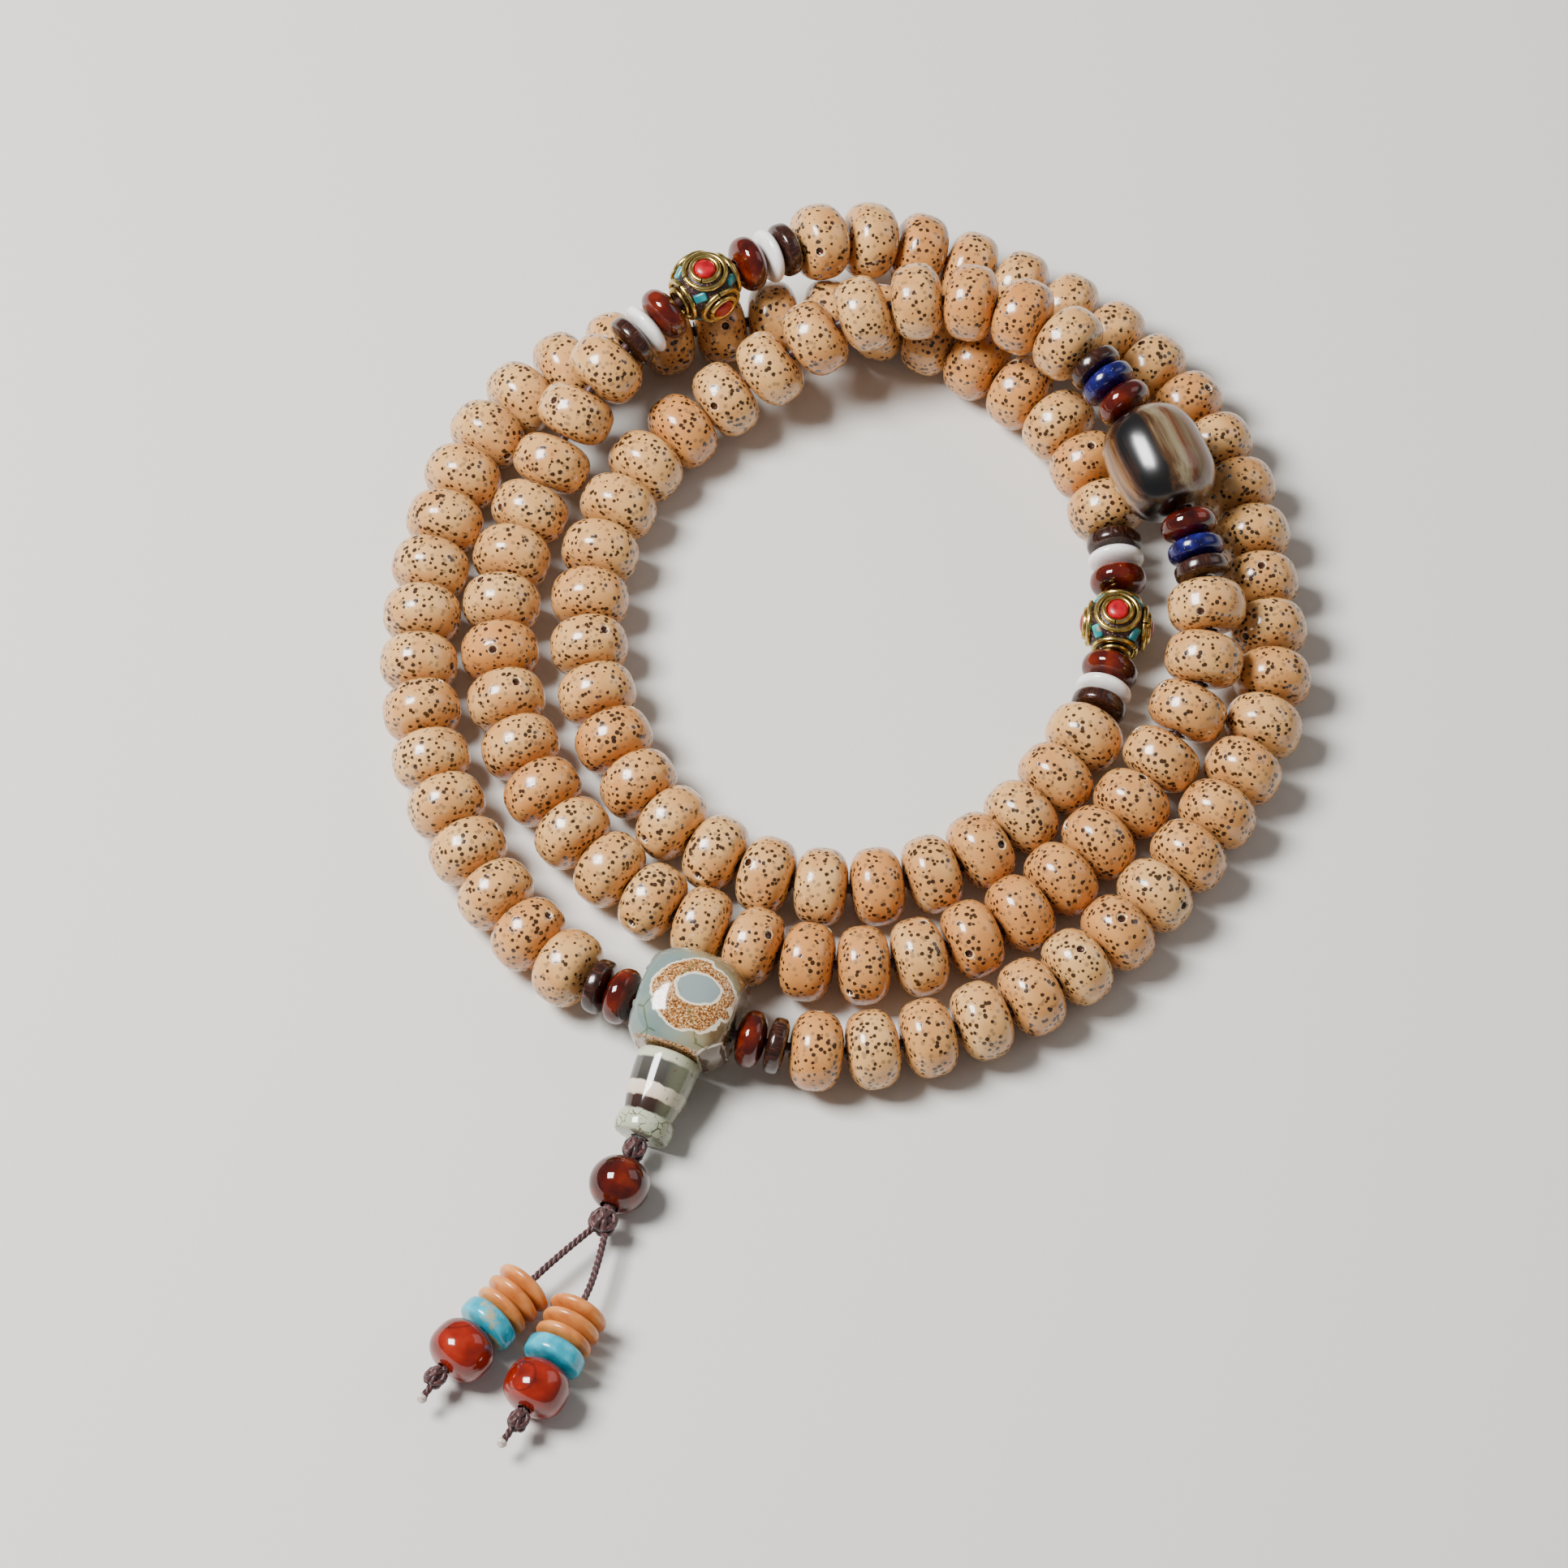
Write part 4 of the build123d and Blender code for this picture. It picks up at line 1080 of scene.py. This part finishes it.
# %% Stupa bead
def stupa_agate():
    finish, shader = new_finish(
        "stupa_banded_agate", Roughness=0.1, IOR=1.54, Coat_Weight=0.3, Coat_Roughness=0.03,
        Subsurface_Weight=0.2, Subsurface_Scale=0.001,
    )
    place = place_on_bead(finish)
    parts = add(finish, "SeparateXYZ", {0: place}).outputs
    edge = add(finish, "TexNoise", {"Vector": place, "Scale": 0.6, "Detail": 3.0}).outputs[0]
    wander = add(finish, "Math", {0: edge, 1: 0.07, 2: -0.035}, operation="MULTIPLY_ADD").outputs[0]
    along = add(finish, "Math", {0: parts[2], 1: STUPA_LENGTH}, operation="DIVIDE").outputs[0]
    along = add(finish, "Math", {0: along, 1: wander}, operation="ADD").outputs[0]
    bands = add(
        finish, "ValToRGB", {"Fac": along},
        ramp=[
            (0.0, "b9bda0"), (0.125, "c9c8ae"), (0.15, "4c4a44"), (0.42, "3a3733"), (0.435, "e2d3bd"),
            (0.58, "d8c4ac"), (0.6, "35241e"), (0.735, "2c1c18"), (0.76, "b7bda2"), (1.0, "a9ad92"),
        ],
    ).outputs[0]
    clear = add(finish, "MapRange", {0: parts[1], 1: -0.8, 2: -3.2, 3: 0.0, 4: 0.75}).outputs[0]
    base = add(finish, "Mix", {0: clear, 6: bands, 7: colour("868a6c")}, data_type="RGBA").outputs[2]
    crackle = add(
        finish, "TexVoronoi", {"Vector": place, "Scale": 0.9}, feature="DISTANCE_TO_EDGE"
    ).outputs[0]
    crackle = add(finish, "MapRange", {0: crackle, 1: 0.02, 2: 0.05, 3: 0.9, 4: 0.0}).outputs[0]
    flange = add(finish, "MapRange", {0: along, 1: 0.77, 2: 0.8, 3: 0.0, 4: 1.0}).outputs[0]
    patches = add(finish, "MapRange", {0: edge, 1: 0.45, 2: 0.55, 3: 0.0, 4: 1.0}).outputs[0]
    crackle = add(finish, "Math", {0: crackle, 1: flange}, operation="MULTIPLY").outputs[0]
    crackle = add(finish, "Math", {0: crackle, 1: patches}, operation="MULTIPLY").outputs[0]
    base = add(finish, "Mix", {0: crackle, 6: base, 7: colour("17120d")}, data_type="RGBA").outputs[2]
    speck = add(finish, "TexNoise", {"Vector": place, "Scale": 1.8, "Detail": 5.0}).outputs[0]
    speck = add(finish, "MapRange", {0: speck, 1: 0.62, 2: 0.68, 3: 0.0, 4: 0.7}).outputs[0]
    base = add(finish, "Mix", {0: speck, 6: base, 7: colour("5a4028")}, data_type="RGBA").outputs[2]
    link(finish, base, shader, "Base Color")
    return finish


STUPA_LENGTH = 11.0
CROWN_RADIUS = 4.05
WAIST_RADIUS = 3.15
FLANGE_RADIUS = 3.7
FLANGE_LENGTH = 2.8


def stupa_outline():
    """From the crown's bore mouth out, down the side and round the flange."""
    neck = STUPA_LENGTH - FLANGE_LENGTH
    yield STEM_BORE / 2, 0.0
    for step in range(7):
        angle = math.pi / 2 * step / 6
        yield CROWN_RADIUS - 0.6 + 0.6 * math.sin(angle), 0.6 - 0.6 * math.cos(angle)
    for step in range(1, 13):
        share = step / 12
        drop = CROWN_RADIUS - WAIST_RADIUS
        yield CROWN_RADIUS - drop * share**2.2, 0.6 + (neck - 0.6) * share
    for step in range(1, 13):
        angle = math.pi * step / 12
        swell = (FLANGE_RADIUS - WAIST_RADIUS * 0.94) * math.sin(angle) ** 0.6
        yield WAIST_RADIUS * 0.94 + swell, neck + FLANGE_LENGTH * (1 - math.cos(angle)) / 2
    yield STEM_BORE / 2, STUPA_LENGTH


stupa_joint = JOINTS["stupa_bead"]
stupa_matrix = bead_matrix(stupa_joint["pos_m"], stupa_joint["axis"])
stupa_parts = [(spin_outline(stupa_outline()), stupa_matrix, (0, 0, 0), 0.5)]
make_piece("agate_stupa_bead", stupa_parts, stupa_agate(), ["stupa_bead"], 50)

# %% [markdown]
# ## The knots
# The neck, split and end knots are macrame: strands that pass over and under each other round a
# core. Each strand is a closed line that runs round the knot while it swings from end to end.
# The strands are set a share of a turn apart and rise a little wherever they cross over, so they
# read as plaited. A small core fills the middle.


# %% Plaited knots
CORE_WIDTH = 0.86
CORE_LENGTH = 0.42


def plait(length, width, turns, swings, strands, strand_radius):
    """Strands of a plaited knot, in millimetres about its middle with z along its length."""
    reach_z = length / 2 - strand_radius
    reach_r = width / 2 - strand_radius
    shapes = []
    for strand in range(strands):
        line = []
        steps = 44 * turns
        for step in range(steps):
            share = 2 * math.pi * step / steps
            swing = math.sin(swings * share + 2 * math.pi * strand / strands)
            height = reach_z * swing
            lift = 0.5 * strand_radius * math.sin(2 * swings * share + math.pi * strand)
            radius = reach_r * (1 - 0.45 * swing**2) + lift - 0.3 * strand_radius
            angle = turns * share + 2 * math.pi * strand / strands
            line.append(Vector((radius * math.cos(angle), radius * math.sin(angle), height)))
        shapes.append(tube(line, strand_radius, closed=True, sides=2))
    core = bmesh.new()
    bmesh.ops.create_uvsphere(core, u_segments=20, v_segments=12, radius=1)
    core_size = (reach_r * CORE_WIDTH, reach_r * CORE_WIDTH, length * CORE_LENGTH)
    bmesh.ops.scale(core, vec=core_size, verts=core.verts)
    return shapes + [core]


KNOTS = {
    "neck_knot": (2.9, 3.3, 2, 5, 3, 0.32),
    "split_knot": (3.2, 4.0, 2, 5, 3, 0.38),
    "end_knot_left": (2.7, 2.9, 2, 5, 3, 0.3),
    "end_knot_right": (2.7, 2.9, 2, 5, 3, 0.3),
}
KNOT_DIRECTIONS = {
    "neck_knot": JOINTS["carnelian_ball"]["axis"],
    "split_knot": JOINTS["carnelian_ball"]["axis"],
    "end_knot_left": [-value for value in JOINTS["red_barrel_left"]["axis"]],
    "end_knot_right": [-value for value in JOINTS["red_barrel_right"]["axis"]],
}
for node, numbers in KNOTS.items():
    low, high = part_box(node)
    matrix = bead_matrix((low + high) / 2, KNOT_DIRECTIONS[node])
    parts = [(shape, matrix, (0, 0, 0), 0.5) for shape in plait(*numbers)]
    make_piece(f"plaited_{node}", parts, CORD, [node], 80)
print(len(KNOTS), "plaited knots")

# %% [markdown]
# ## Melted tips, and the cords that only just show
# Each drop ends where the nylon was cut and melted with a flame, which leaves a small pale bead
# that is not quite round. The string, the stem and the pendant's cord are nearly hidden by the
# beads, so their CAD solids stay and only take the cord's finish.


# %% Tips and hidden cords
def melted_nylon():
    finish, shader = new_finish(
        "melted_nylon", Roughness=0.4, Subsurface_Weight=0.3, Subsurface_Scale=0.0005
    )
    place = place_on_bead(finish)
    soot = add(finish, "TexNoise", {"Vector": place, "Scale": 1.6, "Detail": 3.0}).outputs[0]
    shade = add(finish, "ValToRGB", {"Fac": soot}, ramp=[(0.35, "8a7468"), (0.6, "d8cfc6")])
    link(finish, shade.outputs[0], shader, "Base Color")
    return finish


MELTED = melted_nylon()
TIP_RADIUS = 0.62


def melted_tip(side):
    node = f"cord_tip_{side}"
    (middle, axis), = solids_of(node)
    shape = bmesh.new()
    bmesh.ops.create_icosphere(shape, subdivisions=4, radius=TIP_RADIUS)
    for vert in shape.verts:
        swell = 0.1 * noise.noise(vert.co * 1.7) + 0.03 * noise.noise(vert.co * 6)
        vert.co += vert.co.normalized() * swell
    parts = [(shape, bead_matrix(middle, axis), (0, 0, 0), 0.5)]
    make_piece(f"melted_tip_{side}", parts, MELTED, [node])


for side in DROP_ROUTES:
    melted_tip(side)
for node in ("string", "closing_knot", "stem_cord", "pendant_cord"):
    NODES[node].data.materials.clear()
    NODES[node].data.materials.append(CORD)

# %% [markdown]
# ## Table and light
# A plain pale table top, a soft square light high on the left that gives each bead its small
# bright window, a broad weaker one on the right, and a dim even sky to fill the shadows.


# %% Floor and lights
def pale_table():
    finish, shader = new_finish("pale_matt_table", Roughness=0.85)
    shader.inputs["Base Color"].default_value = colour("d9d6d0")
    shape = bmesh.new()
    bmesh.ops.create_grid(shape, x_segments=1, y_segments=1, size=1.5)
    mesh = bpy.data.meshes.new("table")
    shape.to_mesh(mesh)
    table = bpy.data.objects.new("table", mesh)
    table.data.materials.append(finish)
    bpy.context.scene.collection.objects.link(table)


def soft_light(name, towards, distance, size, power):
    data = bpy.data.lights.new(name, "AREA")
    data.shape = "SQUARE"
    data.size = size
    data.energy = power
    light = bpy.data.objects.new(name, data)
    way = Vector(towards).normalized()
    light.location = way * distance
    light.rotation_euler = way.to_track_quat("Z", "Y").to_euler()
    bpy.context.scene.collection.objects.link(light)


pale_table()
soft_light("key_light", (-0.55, 0.07, 0.83), 0.8, 0.3, 15.0)
soft_light("fill_light", (0.8, 0.3, 0.6), 1.2, 0.7, 1.6)
world = bpy.data.worlds.new("studio")
world.use_nodes = True
world.node_tree.nodes["Background"].inputs["Color"].default_value = colour("f2f4f8")
world.node_tree.nodes["Background"].inputs["Strength"].default_value = 0.24
bpy.context.scene.world = world

# %% End
print("scene built")
